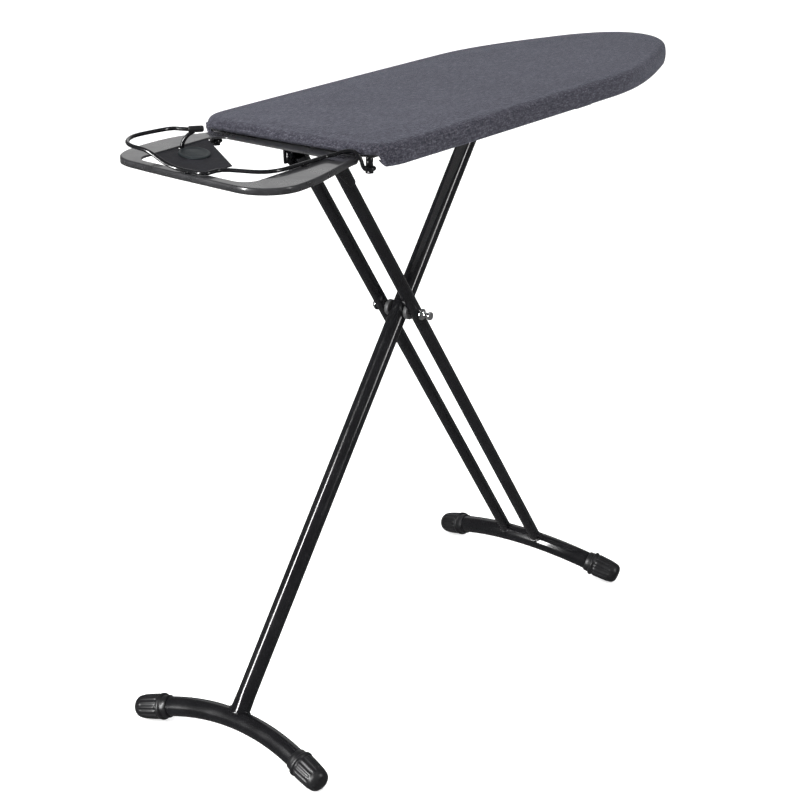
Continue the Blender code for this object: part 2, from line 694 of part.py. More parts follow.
def make_hinge_brackets():
    """Angle brackets under the rear brace, and the pins that the outer leg swings on."""
    top = BRACE_Z - GAP
    lug_face = OUTER_Y + OUTER_R + GAP + 0.0025
    for side, word in ((1, "left"), (-1, "right")):
        low = lug_face + 0.0006
        near, far = sorted((side * low, side * (low + 0.0025)))
        loop = rounded_polygon([(-0.211, HINGE_Z - 0.010), (-0.213, top), (-0.183, top),
                                (-0.189, HINGE_Z - 0.010)], 0.0012, 2)
        ear = side_outline("hinge_bracket_" + word, loop, near, far)
        edge_near, edge_far = sorted((side * low, side * (low + 0.025)))
        foot = box("bracket_foot", (-0.2115, edge_near, top - 0.0025), (-0.1845, edge_far, top))
        boolean(ear, foot, "UNION")
        hole = cylinder("bracket_hole", (-HINGE_X, near - 0.01, HINGE_Z), (-HINGE_X, far + 0.01, HINGE_Z),
                        BOLT_R + GAP, 20, CUTTERS)
        cut(ear, hole)
        finish(ear, PAINT)
        pin = cylinder("hinge_pin_" + word, (-HINGE_X, side * (OUTER_Y + OUTER_R + 2 * GAP), HINGE_Z),
                       (-HINGE_X, side * (low + 0.0030), HINGE_Z), BOLT_R, 24)
        head = cylinder("pin_head", (-HINGE_X, side * (low + 0.0025 + GAP), HINGE_Z),
                        (-HINGE_X, side * (low + 0.0055), HINGE_Z), 0.007, 20)
        boolean(pin, head, "UNION")
        finish(pin, ZINC, round_piece=True)


def make_pivot(parent):
    """Bolt through all three leg tubes, with washers outside and spacers between the tubes."""
    outside = OUTER_Y + OUTER_R
    shank_end = outside + 0.0150
    bolt = cylinder("pivot_bolt", (0, outside + 0.0045, PIVOT_Z), (0, -shank_end, PIVOT_Z), BOLT_R, 24)
    head = cylinder("pivot_head", (0, outside + 0.0024, PIVOT_Z), (0, outside + 0.0075, PIVOT_Z), 0.0075, 24)
    boolean(bolt, head, "UNION")
    finish(bolt, CHROME, parent, round_piece=True)
    nut = cylinder("pivot_nut", (0, -shank_end + 0.0075, PIVOT_Z), (0, -shank_end - 0.0030, PIVOT_Z), 0.0062, 24)
    nut_hole = cylinder("nut_hole", (0, -shank_end + 0.02, PIVOT_Z), (0, -shank_end - GAP, PIVOT_Z),
                        BOLT_R + GAP, 20, CUTTERS)
    cut(nut, nut_hole)
    finish(nut, CHROME, parent, round_piece=True)
    rings = (("pivot_washer_left", outside + GAP, outside + 0.0021, 0.009),
             ("pivot_washer_right", -outside - 0.0021, -outside - GAP, 0.009),
             ("pivot_spacer_left", INNER_R + 0.0005, OUTER_Y - OUTER_R - GAP, SPACER_R),
             ("pivot_spacer_right", -OUTER_Y + OUTER_R + GAP, -INNER_R - 0.0005, SPACER_R))
    for name, low, high, radius in rings:
        ring = cylinder(name, (0, low, PIVOT_Z), (0, high, PIVOT_Z), radius, 24)
        bore = cylinder(name + "_bore", (0, low - 0.01, PIVOT_Z), (0, high + 0.01, PIVOT_Z),
                        BOLT_R + GAP, 20, CUTTERS)
        cut(ring, bore)
        finish(ring, CHROME if "washer" in name else NYLON, parent, round_piece=True)


# ---------------------------------------------------------------- height lock

def make_lock(parent):
    """Notched lever that drops over the sliding rod, drawn lifted clear of it."""
    y_low, y_high = RACK_Y - RACK_THICK / 2, RACK_Y + RACK_THICK / 2
    loop = rounded_polygon([(0.182, RACK_BOTTOM), (0.182, RACK_TOP), (0.540, RACK_TOP),
                            (0.540, RACK_BOTTOM)], 0.003, 3)
    rack = side_outline("lock_lever", loop, y_low, y_high)
    for x in (HINGE_X, 0.245, 0.290, 0.335):
        notch = box("rack_notch", (x - 0.0048, y_low - 0.01, RACK_BOTTOM - 0.01),
                    (x + 0.0048, y_high + 0.01, RACK_BOTTOM + 0.008), CUTTERS)
        cut(rack, notch)
    pin_hole = cylinder("rack_pin_hole", (LEVER_X, y_low - 0.01, LEVER_Z), (LEVER_X, y_high + 0.01, LEVER_Z),
                        LEVER_PIN_R + RUNNING, 24, CUTTERS)
    cut(rack, pin_hole)
    finish(rack, PAINT, parent)
    pin = cylinder("lever_pin", (LEVER_X, RACK_Y + 0.004, LEVER_Z), (LEVER_X, -0.0685, LEVER_Z), LEVER_PIN_R, 24)
    for start, end in ((RACK_Y + 0.004, y_high + 0.0006), (y_low - 0.0006, -0.0637), (-0.0658, -0.0685)):
        collar = cylinder("pin_collar", (LEVER_X, start, LEVER_Z), (LEVER_X, end, LEVER_Z), 0.0045, 20)
        boolean(pin, collar, "UNION")
    finish(pin, ZINC, round_piece=True)
    handle_z = RACK_TOP - 0.0045
    handle = wire("lever_handle", [(HANDLE_X, y_low - GAP, handle_z), (HANDLE_X, -0.100, handle_z),
                                   (HANDLE_X, -0.118, handle_z - 0.001)], 0.0025, 2)
    finish(handle, PAINT, parent, round_piece=True)
    grip = box("lever_grip", (HANDLE_X - 0.024, -0.154, handle_z - 0.004),
               (HANDLE_X + 0.024, -0.1185, handle_z + 0.003))
    edges = grip.modifiers.new("edges", "BEVEL")
    edges.width = 0.0025
    edges.segments = 2
    apply_modifiers(grip)
    finish(grip, PLASTIC, parent)
    turns, steps = 4, 16
    low, high = RACK_TOP + 0.0014, BRACE_Z - 0.0014
    coil = []
    for step in range(turns * steps + 1):
        angle = 2 * pi * step / steps
        coil.append((0.192 + 0.0045 * cos(angle), RACK_Y + 0.0045 * sin(angle),
                     low + (high - low) * step / (turns * steps)))
    spring = wire("lever_spring", coil, 0.0006, 1)
    finish(spring, ZINC, round_piece=True)


# ---------------------------------------------------------------- build

clear_scene()
PARTS = collection("ironing_board")
CUTTERS = collection("cutters")

FABRIC = material("cover_fabric", (0.075, 0.080, 0.092), 0.9)
FELT = material("felt", (0.55, 0.54, 0.52), 0.95)
PAINT = material("black_paint", BLACK_PAINT, 0.22, 0.0)
STEEL = material("deck_steel", (0.20, 0.20, 0.21), 0.45, 0.6)
ZINC = material("zinc", (0.60, 0.60, 0.62), 0.35, 1.0)
CHROME = material("chrome", (0.82, 0.82, 0.84), 0.12, 1.0)
RUBBER = material("black_rubber", (0.018, 0.018, 0.019), 0.6)
MATTE = material("matte_panel", (0.035, 0.036, 0.040), 0.75)
SILICONE = material("silicone_pad", (0.060, 0.070, 0.072), 0.6)
NYLON = material("nylon", (0.05, 0.05, 0.05), 0.5)
PLASTIC = material("black_plastic", (0.02, 0.02, 0.02), 0.45)

OUTER_PIVOT = pivot("outer_leg_pivot", -HINGE_X, HINGE_Z)
INNER_PIVOT = pivot("inner_leg_pivot", 0.0, PIVOT_Z)
LEVER_PIVOT = pivot("lock_lever_pivot", LEVER_X, LEVER_Z)

make_cover()
make_pad()
make_deck()
make_braces()
make_rails()
make_rest_plate()
make_rest_straps()
make_heel_panel()
make_guard()
make_hinge_brackets()
make_outer_leg(OUTER_PIVOT)
make_inner_leg(INNER_PIVOT)
make_pivot(OUTER_PIVOT)
for place, foot_at, half, parent in (("front", FRONT_FOOT, FRONT_HALF, INNER_PIVOT),
                                    ("rear", REAR_FOOT, REAR_HALF, OUTER_PIVOT)):
    make_foot_bar(place + "_foot_bar", foot_at, half, parent)
    for side, word in ((1, "left"), (-1, "right")):
        make_foot_cap("%s_cap_%s" % (place, word), foot_at, half, side, parent)
make_lock(LEVER_PIVOT)
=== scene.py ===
"""Looks of a folding ironing board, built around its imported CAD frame."""

from math import asin, cos, pi, sin, sqrt

import bmesh
import bpy
import numpy as np
from mathutils import Matrix, Vector, noise


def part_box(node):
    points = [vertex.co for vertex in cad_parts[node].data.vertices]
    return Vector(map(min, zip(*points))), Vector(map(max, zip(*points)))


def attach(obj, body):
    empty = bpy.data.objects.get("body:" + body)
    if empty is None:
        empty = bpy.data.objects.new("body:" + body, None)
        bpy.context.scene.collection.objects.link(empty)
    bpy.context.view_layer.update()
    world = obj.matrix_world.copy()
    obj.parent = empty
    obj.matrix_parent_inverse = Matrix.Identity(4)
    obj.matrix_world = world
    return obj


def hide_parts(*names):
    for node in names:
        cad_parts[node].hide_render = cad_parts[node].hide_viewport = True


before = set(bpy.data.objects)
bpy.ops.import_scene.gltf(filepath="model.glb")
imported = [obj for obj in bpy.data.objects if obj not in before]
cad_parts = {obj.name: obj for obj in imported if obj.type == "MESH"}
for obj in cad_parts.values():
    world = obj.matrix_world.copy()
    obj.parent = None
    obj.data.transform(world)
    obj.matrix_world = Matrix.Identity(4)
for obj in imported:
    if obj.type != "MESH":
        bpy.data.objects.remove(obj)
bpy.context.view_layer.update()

# Board, in metres, as in the CAD
TOP_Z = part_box("cover")[1].z
SKIRT_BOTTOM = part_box("cover")[0].z
HALF_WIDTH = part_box("cover")[1].y
REAR_HALF_WIDTH = 0.1655
REAR_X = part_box("cover")[0].x
NOSE_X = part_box("cover")[1].x
COVER_THICK = 0.0012
PAD_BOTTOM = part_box("pad")[0].z
DECK_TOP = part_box("deck")[1].z
DECK_THICK = 0.0012
RIM_R = 0.003
GAP = 0.0003            # kept between pieces that touch

# Iron rest
REST_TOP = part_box("rest_plate")[1].z
REST_THICK = 0.0015
REST_RIM = 0.009
REST_REAR_X = -0.470
REST_FRONT_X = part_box("rest_plate")[1].x
OPEN_FRONT_X = -0.281
OPENING_CORNERS = [(-0.4600, -0.1035), (-0.4465, 0.1020), (OPEN_FRONT_X, 0.1070), (-0.2880, -0.0955)]
PANEL_CORNERS = [(-0.462, -0.020), (-0.462, 0.010), (-0.402, 0.112), (-0.3646, 0.112), (-0.3646, 0.0953),
                 (-0.3572, 0.0953), (-0.3572, 0.112), (-0.296, 0.112), (-0.393, -0.020)]
PAD_CENTRE = (-0.376, 0.062)
PAD_HALF = (0.033, 0.021)
PAD_TURN = 0.94         # the oval pad lies at this angle, in radians
WIRE_R = 0.00275
OPENING_CORNER_R = 0.022
HOOP_Z = 0.9021
SLEEVE_FROM = (-0.3531, 0.0911, HOOP_Z)
HOOP_END = (-0.3500, 0.0885, HOOP_Z)
BOLT_X = -0.2515
EYE_Y = 0.136
EYE_Z = 0.8616
EYE_R = 0.0062

# Legs
PIVOT_Z = 0.5715
HINGE_Z = 0.8431
FRONT_FOOT = (-0.4155, 0.0291)
REAR_FOOT = (0.3797, 0.0317)
INNER_R = 0.014
OUTER_R = 0.010
OUTER_Y = 0.0311
LEG_WALL = 0.0012
FOOT_R = 0.015
ARCH_R = 0.39
ARCH_RISE = 0.0205
FRONT_HALF = 0.1218
REAR_HALF = 0.128
BAR_INTO_CAP = 0.040


# ---------------------------------------------------------------- materials

class Shader:
    """A Principled material whose nodes are added one by one."""

    def __init__(self, name, **values):
        self.material = bpy.data.materials.new(name)
        self.material.use_nodes = True
        self.tree = self.material.node_tree
        self.bsdf = self.tree.nodes["Principled BSDF"]
        for key, value in values.items():
            self.bsdf.inputs[key.replace("_", " ")].default_value = value
        self.place = self.tree.nodes.new("ShaderNodeTexCoord").outputs["Object"]

    def link(self, source, target):
        self.tree.links.new(source, target)

    def node(self, kind, inputs=(), **settings):
        made = self.tree.nodes.new(kind)
        for key, value in settings.items():
            setattr(made, key, value)
        for key, value in dict(inputs).items():
            if isinstance(value, bpy.types.NodeSocket):
                self.link(value, made.inputs[key])
            else:
                made.inputs[key].default_value = value
        return made

    def scaled(self, scale):
        return self.node("ShaderNodeMapping", {"Vector": self.place, "Scale": scale}).outputs["Vector"]

    def noise(self, scale, detail=3.0, roughness=0.55, stretch=(1.0, 1.0, 1.0)):
        where = self.scaled(stretch)
        return self.node("ShaderNodeTexNoise", {"Vector": where, "Scale": scale, "Detail": detail,
                                                "Roughness": roughness}).outputs["Fac"]

    def ramp(self, value, stops):
        made = self.node("ShaderNodeValToRGB", {"Fac": value})
        bar = made.color_ramp.elements
        while len(bar) < len(stops):
            bar.new(0.5)
        for element, (position, colour) in zip(bar, stops):
            element.position = position
            element.color = (*colour, 1.0) if len(colour) == 3 else colour
        return made.outputs["Color"]

    def levels(self, value, low, high, new_low, new_high):
        return self.node("ShaderNodeMapRange", {"Value": value, "From Min": low, "From Max": high,
                                                "To Min": new_low, "To Max": new_high}).outputs["Result"]

    def math(self, operation, first, second):
        return self.node("ShaderNodeMath", {0: first, 1: second}, operation=operation).outputs["Value"]

    def mix(self, factor, first, second, blend="MIX"):
        made = self.node("ShaderNodeMix", {"Factor": factor}, data_type="RGBA", blend_type=blend)
        for socket, value in ((made.inputs[6], first), (made.inputs[7], second)):
            if isinstance(value, bpy.types.NodeSocket):
                self.link(value, socket)
            else:
                socket.default_value = (*value, 1.0)
        return made.outputs[2]

    def bump(self, height, strength, distance, normal=None):
        made = self.node("ShaderNodeBump", {"Height": height, "Strength": strength, "Distance": distance})
        if normal:
            self.link(normal, made.inputs["Normal"])
        self.link(made.outputs["Normal"], self.bsdf.inputs["Normal"])
        return made.outputs["Normal"]

    def colour(self, socket):
        self.link(socket, self.bsdf.inputs["Base Color"])

    def roughness(self, socket):
        self.link(socket, self.bsdf.inputs["Roughness"])


def fabric_material():
    """Charcoal melange: pale and dark yarns crossing, with a little bluish sheen."""
    s = Shader("cover_fabric", Roughness=0.86, Sheen_Weight=0.07, Sheen_Roughness=0.45,
               Sheen_Tint=(0.80, 0.84, 1.0, 1.0), Specular_IOR_Level=0.06)
    warp = s.noise(520.0, 2.0, 0.6, (0.22, 1.0, 1.0))
    weft = s.noise(560.0, 2.0, 0.6, (1.0, 0.22, 0.5))
    grain = s.noise(820.0, 1.0, 0.5)
    yarn = s.math("ADD", s.math("MULTIPLY", warp, 0.42), s.math("MULTIPLY", weft, 0.36))
    yarn = s.math("ADD", yarn, s.math("MULTIPLY", grain, 0.22))
    patches = s.noise(5.0, 4.0, 0.6)
    base = s.ramp(yarn, [(0.36, (0.0085, 0.0083, 0.0115)), (0.50, (0.0240, 0.0236, 0.0305)),
                         (0.66, (0.064, 0.063, 0.075))])
    shade = s.levels(patches, 0.3, 0.7, 0.90, 1.08)
    tone = s.node("ShaderNodeCombineColor", {0: shade, 1: shade, 2: shade}).outputs["Color"]
    s.colour(s.mix(1.0, base, tone, "MULTIPLY"))
    s.roughness(s.levels(yarn, 0.35, 0.65, 0.78, 0.94))
    threads = s.node("ShaderNodeTexWave", {"Vector": s.place, "Scale": 260.0, "Distortion": 1.5,
                                           "Detail": 1.0}, bands_direction="X").outputs["Fac"]
    picks = s.node("ShaderNodeTexWave", {"Vector": s.place, "Scale": 260.0, "Distortion": 1.5,
                                         "Detail": 1.0}, bands_direction="Y").outputs["Fac"]
    weave = s.math("ADD", s.math("MULTIPLY", threads, picks), s.math("MULTIPLY", yarn, 0.6))
    fine = s.bump(weave, 0.35, 0.0004)
    s.bump(s.noise(60.0, 3.0, 0.6), 0.18, 0.0016, fine)
    return s.material


def paint_material(name, colour, rough, orange_peel=0.05, coat=0.6):
    """Gloss enamel: orange peel, faint handling marks and a clear top layer."""
    s = Shader(name, Specular_IOR_Level=0.4, Coat_Weight=coat, Coat_Roughness=0.05, Coat_IOR=1.4)
    smudge = s.noise(24.0, 5.0, 0.6)
    specks = s.noise(900.0, 1.0, 0.5)
    worn = s.levels(specks, 0.70, 0.78, 0.0, 1.0)
    s.colour(s.mix(worn, s.ramp(smudge, [(0.35, colour), (0.70, tuple(c * 1.5 for c in colour))]),
                   tuple(c * 3 + 0.01 for c in colour)))
    s.roughness(s.levels(smudge, 0.35, 0.70, rough * 0.75, rough * 1.35))
    s.bump(s.noise(420.0, 2.0, 0.5), orange_peel, 0.0006)
    return s.material


def metal_material(name, colour, rough, stretch=(1.0, 1.0, 1.0)):
    """Plated metal with fine brushing and slight clouding."""
    s = Shader(name, Metallic=1.0)
    cloud = s.noise(90.0, 4.0, 0.6, stretch)
    s.colour(s.ramp(cloud, [(0.3, tuple(c * 0.86 for c in colour)), (0.7, colour)]))
    s.roughness(s.levels(s.noise(420.0, 3.0, 0.6, stretch), 0.3, 0.7, rough * 0.7, rough * 1.4))
    s.bump(s.noise(700.0, 2.0, 0.5, stretch), 0.08, 0.0004)
    return s.material


def moulded_material(name, colour, rough, grain=1400.0, depth=0.25, shine=0.4):
    """Moulded plastic or rubber with a fine eroded grain."""
    s = Shader(name, Specular_IOR_Level=shine)
    texture = s.node("ShaderNodeTexVoronoi", {"Vector": s.place, "Scale": grain},
                     feature="SMOOTH_F1").outputs["Distance"]
    dust = s.noise(38.0, 5.0, 0.65)
    s.colour(s.ramp(dust, [(0.38, colour), (0.72, tuple(c * 1.7 + 0.001 for c in colour))]))
    s.roughness(s.levels(dust, 0.35, 0.7, rough * 0.85, min(1.0, rough * 1.2)))
    s.bump(texture, depth, 0.0003)
    return s.material


def felt_material():
    s = Shader("felt", Roughness=0.97, Sheen_Weight=0.3, Sheen_Roughness=0.6, Specular_IOR_Level=0.1)
    fibres = s.noise(380.0, 5.0, 0.7, (1.0, 0.4, 1.0))
    flecks = s.levels(s.noise(240.0, 2.0, 0.5), 0.62, 0.70, 0.0, 0.8)
    base = s.ramp(fibres, [(0.3, (0.36, 0.35, 0.335)), (0.7, (0.60, 0.59, 0.57))])
    s.colour(s.mix(flecks, base, (0.20, 0.21, 0.25)))
    s.bump(fibres, 0.7, 0.0012)
    return s.material


FABRIC = fabric_material()
PAINT = paint_material("gloss_black_paint", (0.0028, 0.0028, 0.0033), 0.18, 0.04, 0.5)
PLATE = paint_material("gloss_black_plate", (0.012, 0.012, 0.013), 0.30, 0.03, 0.9)
STEEL = paint_material("deck_coating", (0.20, 0.20, 0.21), 0.45, 0.10, 0.1)
MATTE = moulded_material("matte_panel", (0.0075, 0.0075, 0.0090), 0.60, 1800.0, 0.35, 0.08)
SILICONE = moulded_material("silicone_pad", (0.008, 0.010, 0.011), 0.45, 1500.0, 0.15, 0.12)
RUBBER = moulded_material("black_rubber", (0.0045, 0.0045, 0.0050), 0.34, 1500.0, 0.12)
NYLON = moulded_material("nylon", (0.030, 0.030, 0.031), 0.45)
PLASTIC = moulded_material("black_plastic", (0.018, 0.018, 0.019), 0.40)
CHROME = metal_material("chrome", (0.86, 0.86, 0.88), 0.09)
ZINC = metal_material("zinc", (0.62, 0.62, 0.64), 0.32, (1.0, 1.0, 4.0))
FELT = felt_material()


# ---------------------------------------------------------------- helpers

def add_object(name, bm, material, body, sharp=0.7):
    """Make a shown piece from a bmesh: smooth, with edges over the sharp angle kept crisp."""
    mesh = bpy.data.meshes.new(name)
    bm.to_mesh(mesh)
    bm.free()
    for face in mesh.polygons:
        face.use_smooth = True
    mesh.set_sharp_from_angle(angle=sharp)
    mesh.materials.append(material)
    obj = bpy.data.objects.new(name, mesh)
    bpy.context.scene.collection.objects.link(obj)
    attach(obj, body)
    return obj


def smooth_line(points, steps=6, closed=False):
    """Catmull-Rom curve through the points."""
    knots = [Vector(p) for p in points]
    count = len(knots)
    spans = count if closed else count - 1
    line = []
    for index in range(spans):
        if closed:
            a, b, c, d = (knots[(index + k) % count] for k in (-1, 0, 1, 2))
        else:
            b, c = knots[index], knots[index + 1]
            a = knots[index - 1] if index else b * 2 - c
            d = knots[index + 2] if index + 2 < count else c * 2 - b
        for step in range(steps):
            t = step / steps
            line.append(0.5 * (2 * b + (c - a) * t + (2 * a - 5 * b + 4 * c - d) * t * t
                               + (3 * b - a - 3 * c + d) * t ** 3))
    if not closed:
        line.append(knots[-1])
    return line


def sweep(bm, line, radius, sides=24, closed=False, end_round=0.0, wobble=0.0):
    """Tube along a line; round ends shrink over a length equal to end_round."""
    line = [Vector(p) for p in line]
    count = len(line)
    tangents = []
    for index in range(count):
        if closed:
            tangent = line[(index + 1) % count] - line[index - 1]
        else:
            tangent = line[min(index + 1, count - 1)] - line[max(index - 1, 0)]
        tangents.append(tangent.normalized())
    start_normal = tangents[0].orthogonal().normalized()
    rings = []
    normal = start_normal
    for index, (place, tangent) in enumerate(zip(line, tangents)):
        if index:
            normal = tangents[index - 1].rotation_difference(tangent) @ normal
            normal = (normal - tangent * normal.dot(tangent)).normalized()
        binormal = tangent.cross(normal)
        here = radius(index / (count - 1)) if callable(radius) else radius
        if wobble:
            here *= 1 + wobble * noise.noise(place * 900)
        rings.append([bm.verts.new(place + (normal * cos(a) + binormal * sin(a)) * here)
                      for a in (2 * pi * k / sides for k in range(sides))])
    pairs = list(zip(rings, rings[1:]))
    if closed:
        twist = start_normal.angle(normal) if start_normal.dot(normal) < 0.99999 else 0.0
        if tangents[0].cross(start_normal).dot(normal) > 0:
            twist = -twist
        shift = round(twist / (2 * pi) * sides) % sides
        pairs.append((rings[-1], rings[0][shift:] + rings[0][:shift]))
    for low, high in pairs:
        for k in range(sides):
            bm.faces.new((low[k - 1], low[k], high[k], high[k - 1]))
    if not closed:
        for ring, tangent, back in ((rings[0], tangents[0], -1), (rings[-1], tangents[-1], 1)):
            cap_end(bm, ring, tangent * back, end_round)
    bmesh.ops.recalc_face_normals(bm, faces=bm.faces)


def cap_end(bm, ring, outward, bulge):
    """Close a tube's end with a shallow dome."""
    centre = sum((v.co for v in ring), Vector()) / len(ring)
    last = ring
    steps = 3 if bulge else 0
    for step in range(1, steps + 1):
        angle = pi / 2 * step / (steps + 1)
        fresh = [bm.verts.new(centre + (v.co - centre) * cos(angle) + outward * bulge * sin(angle))
                 for v in ring]
        for k in range(len(ring)):
            bm.faces.new((last[k - 1], last[k], fresh[k], fresh[k - 1]))
        last = fresh
    top = bm.verts.new(centre + outward * bulge)
    for k in range(len(ring)):
        bm.faces.new((last[k - 1], last[k], top))


def loft(bm, rings, closed=True):
    """Quads between rings of equal point count; returns the rings of vertices."""
    made = [[bm.verts.new(p) for p in ring] for ring in rings]
    for low, high in zip(made, made[1:]):
        for k in range(0 if closed else 1, len(low)):
            bm.faces.new((low[k - 1], low[k], high[k], high[k - 1]))
    return made


def turned(bm, profile, place, axis, sides=32, flute=None):
    """Turn (radius, height) points about an axis that starts at place."""
    turn = Matrix.Translation(place) @ Vector(axis).to_track_quat("Z", "X").to_matrix().to_4x4()
    rings = []
    for radius, height in profile:
        ring = []
        for k in range(sides):
            angle = 2 * pi * k / sides
            here = flute(radius, height, angle) if flute else radius
            ring.append(turn @ Vector((here * cos(angle), here * sin(angle), height)))
        rings.append(ring)
    made = loft(bm, rings)
    for ring, (radius, _) in ((made[0], profile[0]), (made[-1], profile[-1])):
        if radius > 1e-6:
            bm.faces.new(ring if ring is made[0] else ring[::-1])
    bmesh.ops.remove_doubles(bm, verts=bm.verts, dist=1e-7)
    bmesh.ops.recalc_face_normals(bm, faces=bm.faces)


def bezier(start, first, second, end, steps=40):
    """Points along a cubic curve, without its last one."""
    t = np.linspace(0, 1, steps, endpoint=False)[:, None]
    points = [np.array(p, float) for p in (start, first, second, end)]
    return ((1 - t) ** 3 * points[0] + 3 * t * (1 - t) ** 2 * points[1]
            + 3 * t * t * (1 - t) * points[2] + t ** 3 * points[3])


def close_mirrored(half):
    """Close a half outline that starts and ends on y = 0 with its mirror image."""
    mirror = half[1:-1][::-1] * np.array([1.0, -1.0])
    return np.vstack([half, mirror])


def resample(loop, count):
    """Points at equal steps along a closed outline."""
    ring = np.vstack([loop, loop[:1]])
    lengths = np.r_[0, np.cumsum(np.linalg.norm(np.diff(ring, axis=0), axis=1))]
    at = np.linspace(0, lengths[-1], count, endpoint=False)
    return np.column_stack([np.interp(at, lengths, ring[:, axis]) for axis in (0, 1)]), lengths[-1]


def outward_normals(loop):
    """Unit normals of a closed clockwise outline, pointing out."""
    along = np.roll(loop, -1, axis=0) - np.roll(loop, 1, axis=0)
    along /= np.linalg.norm(along, axis=1)[:, None]
    return np.column_stack([-along[:, 1], along[:, 0]])


def ease(value, low, high):
    """Smooth step from 0 at low to 1 at high."""
    t = np.clip((value - low) / (high - low), 0.0, 1.0)
    return t * t * (3 - 2 * t)


def arc_corner(corners, radius, steps=8):
    """Closed outline with its corners rounded."""
    loop = []
    count = len(corners)
    for index, corner in enumerate(corners):
        here = Vector(corner)
        back = (Vector(corners[index - 1]) - here).normalized()
        on = (Vector(corners[(index + 1) % count]) - here).normalized()
        half = back.angle(on) / 2
        run = radius * cos(half) / sin(half)
        centre = here + (back + on).normalized() * (radius / sin(half))
        start = here + back * run - centre
        span = start.angle_signed(here + on * run - centre)
        for step in range(steps + 1):
            spoke = start.copy()
            spoke.rotate(Matrix.Rotation(-span * step / steps, 2))
            loop.append(tuple(centre + spoke))
    return np.array(loop)


def filled_sheet(name, outer, holes, height, half_thick=0.0):
    """Sheet between outlines, as a bmesh at a height: a flat face unless it is given a thickness."""
    curve = bpy.data.curves.new(name, "CURVE")
    curve.dimensions = "2D"
    curve.fill_mode = "BOTH"
    curve.extrude = half_thick
    for points in (outer, *holes):
        spline = curve.splines.new("POLY")
        spline.points.add(len(points) - 1)
        for knot, (x, y) in zip(spline.points, points):
            knot.co = (x, y, 0.0, 1.0)
        spline.use_cyclic_u = True
    helper = bpy.data.objects.new(name, curve)
    bpy.context.scene.collection.objects.link(helper)
    bpy.context.view_layer.update()
    mesh = bpy.data.meshes.new_from_object(helper.evaluated_get(bpy.context.evaluated_depsgraph_get()))
    bpy.data.objects.remove(helper)
    bpy.data.curves.remove(curve)
    bm = bmesh.new()
    bm.from_mesh(mesh)
    bpy.data.meshes.remove(mesh)
    bmesh.ops.remove_doubles(bm, verts=bm.verts, dist=1e-6)
    bmesh.ops.translate(bm, verts=bm.verts, vec=(0, 0, height))
    return bm


def face_up(bm):
    """Turn a sheet's faces the same way, with the top of the sheet facing up."""
    bmesh.ops.remove_doubles(bm, verts=bm.verts, dist=2e-5)
    bmesh.ops.recalc_face_normals(bm, faces=bm.faces)
    if sum(face.normal.z * face.calc_area() for face in bm.faces) < 0:
        bmesh.ops.reverse_faces(bm, faces=bm.faces)


def thicken(obj, thickness):
    """Give a sheet its thickness, inward from the shown surface."""
    wall = obj.modifiers.new("thickness", "SOLIDIFY")
    wall.thickness = thickness
    wall.offset = -1.0


def board_outline():
    """Outline of the cover seen from above, clockwise from the middle of its rear edge."""
    half = np.vstack([
        bezier((REAR_X, 0.0), (REAR_X, 0.040), (REAR_X + 0.001, 0.085), (REAR_X + 0.002, 0.118)),
        bezier((REAR_X + 0.002, 0.118), (REAR_X + 0.004, 0.150), (-0.240, REAR_HALF_WIDTH),
               (-0.205, REAR_HALF_WIDTH)),
        bezier((-0.205, REAR_HALF_WIDTH), (-0.050, REAR_HALF_WIDTH + 0.003), (0.180, HALF_WIDTH),
               (0.330, HALF_WIDTH)),
        bezier((0.330, HALF_WIDTH), (0.430, HALF_WIDTH), (0.520, 0.137), (0.600, 0.108)),
        bezier((0.600, 0.108), (0.670, 0.082), (NOSE_X, 0.045), (NOSE_X, 0.0)),
        np.array([[NOSE_X, 0.0]])])
    return close_mirrored(half)


# ---------------------------------------------------------------- cover, pad and deck

SPINE = (-0.175, 0.600)     # the crown's ridge runs between these along the board
COVER_STEPS = 1100
CURTAIN = 0.0034            # the skirt hangs straight above this height over its hem


def top_height(toward_ridge, x, y):
    """Crown of the padded top, from the shoulder (0) to the ridge (1)."""
    sag = 0.0016 * (1 - ease(toward_ridge, 0.0, 0.30))
    soft = 0.00035 * noise.noise(Vector((x * 26, y * 26, 3.0)))
    return TOP_Z - 0.0002 - sag + soft


def hem_height(x, y):
    """Lower edge of the skirt: over the iron rest at the rear, lower along the sides."""
    over_rest = ease(-x, 0.205, 0.212) * (1 - ease(abs(y), 0.1495, 0.1580))
    return SKIRT_BOTTOM + 0.0008 + (REST_TOP + 0.0012 - SKIRT_BOTTOM) * over_rest


def gather(along, height_share, x, y):
    """Outward offset of the gathered skirt."""
    at_rear = float(ease(-x, 0.170, 0.235))
    at_nose = float(ease(x, 0.600, 0.690))
    corner = at_rear * float(ease(abs(y), 0.085, 0.140))
    lean = along + 0.0035 * height_share * noise.noise(Vector((along * 9, 2.0, 0.0)))
    fine = noise.noise(Vector((lean * 210, height_share * 0.9, 5.0)))
    broad = noise.noise(Vector((lean * 95, height_share * 0.7, 9.0)))
    wave = noise.noise(Vector((along * 18, height_share * 0.6, 14.0)))
    depth = 1 - height_share
    reach = min(1.0, 0.25 + 0.9 * depth) * min(1.0, height_share * 6 + 0.5)
    fold = (0.0007 + 0.0010 * at_rear + 0.0016 * corner + 0.0005 * at_nose) * (1 - 2 * abs(fine))
    fold += (0.0006 + 0.0012 * at_rear + 0.0018 * corner) * broad
    return reach * fold * (0.40 + 0.60 * max(at_rear, 0.5 * at_nose)) + 0.0007 * wave * depth


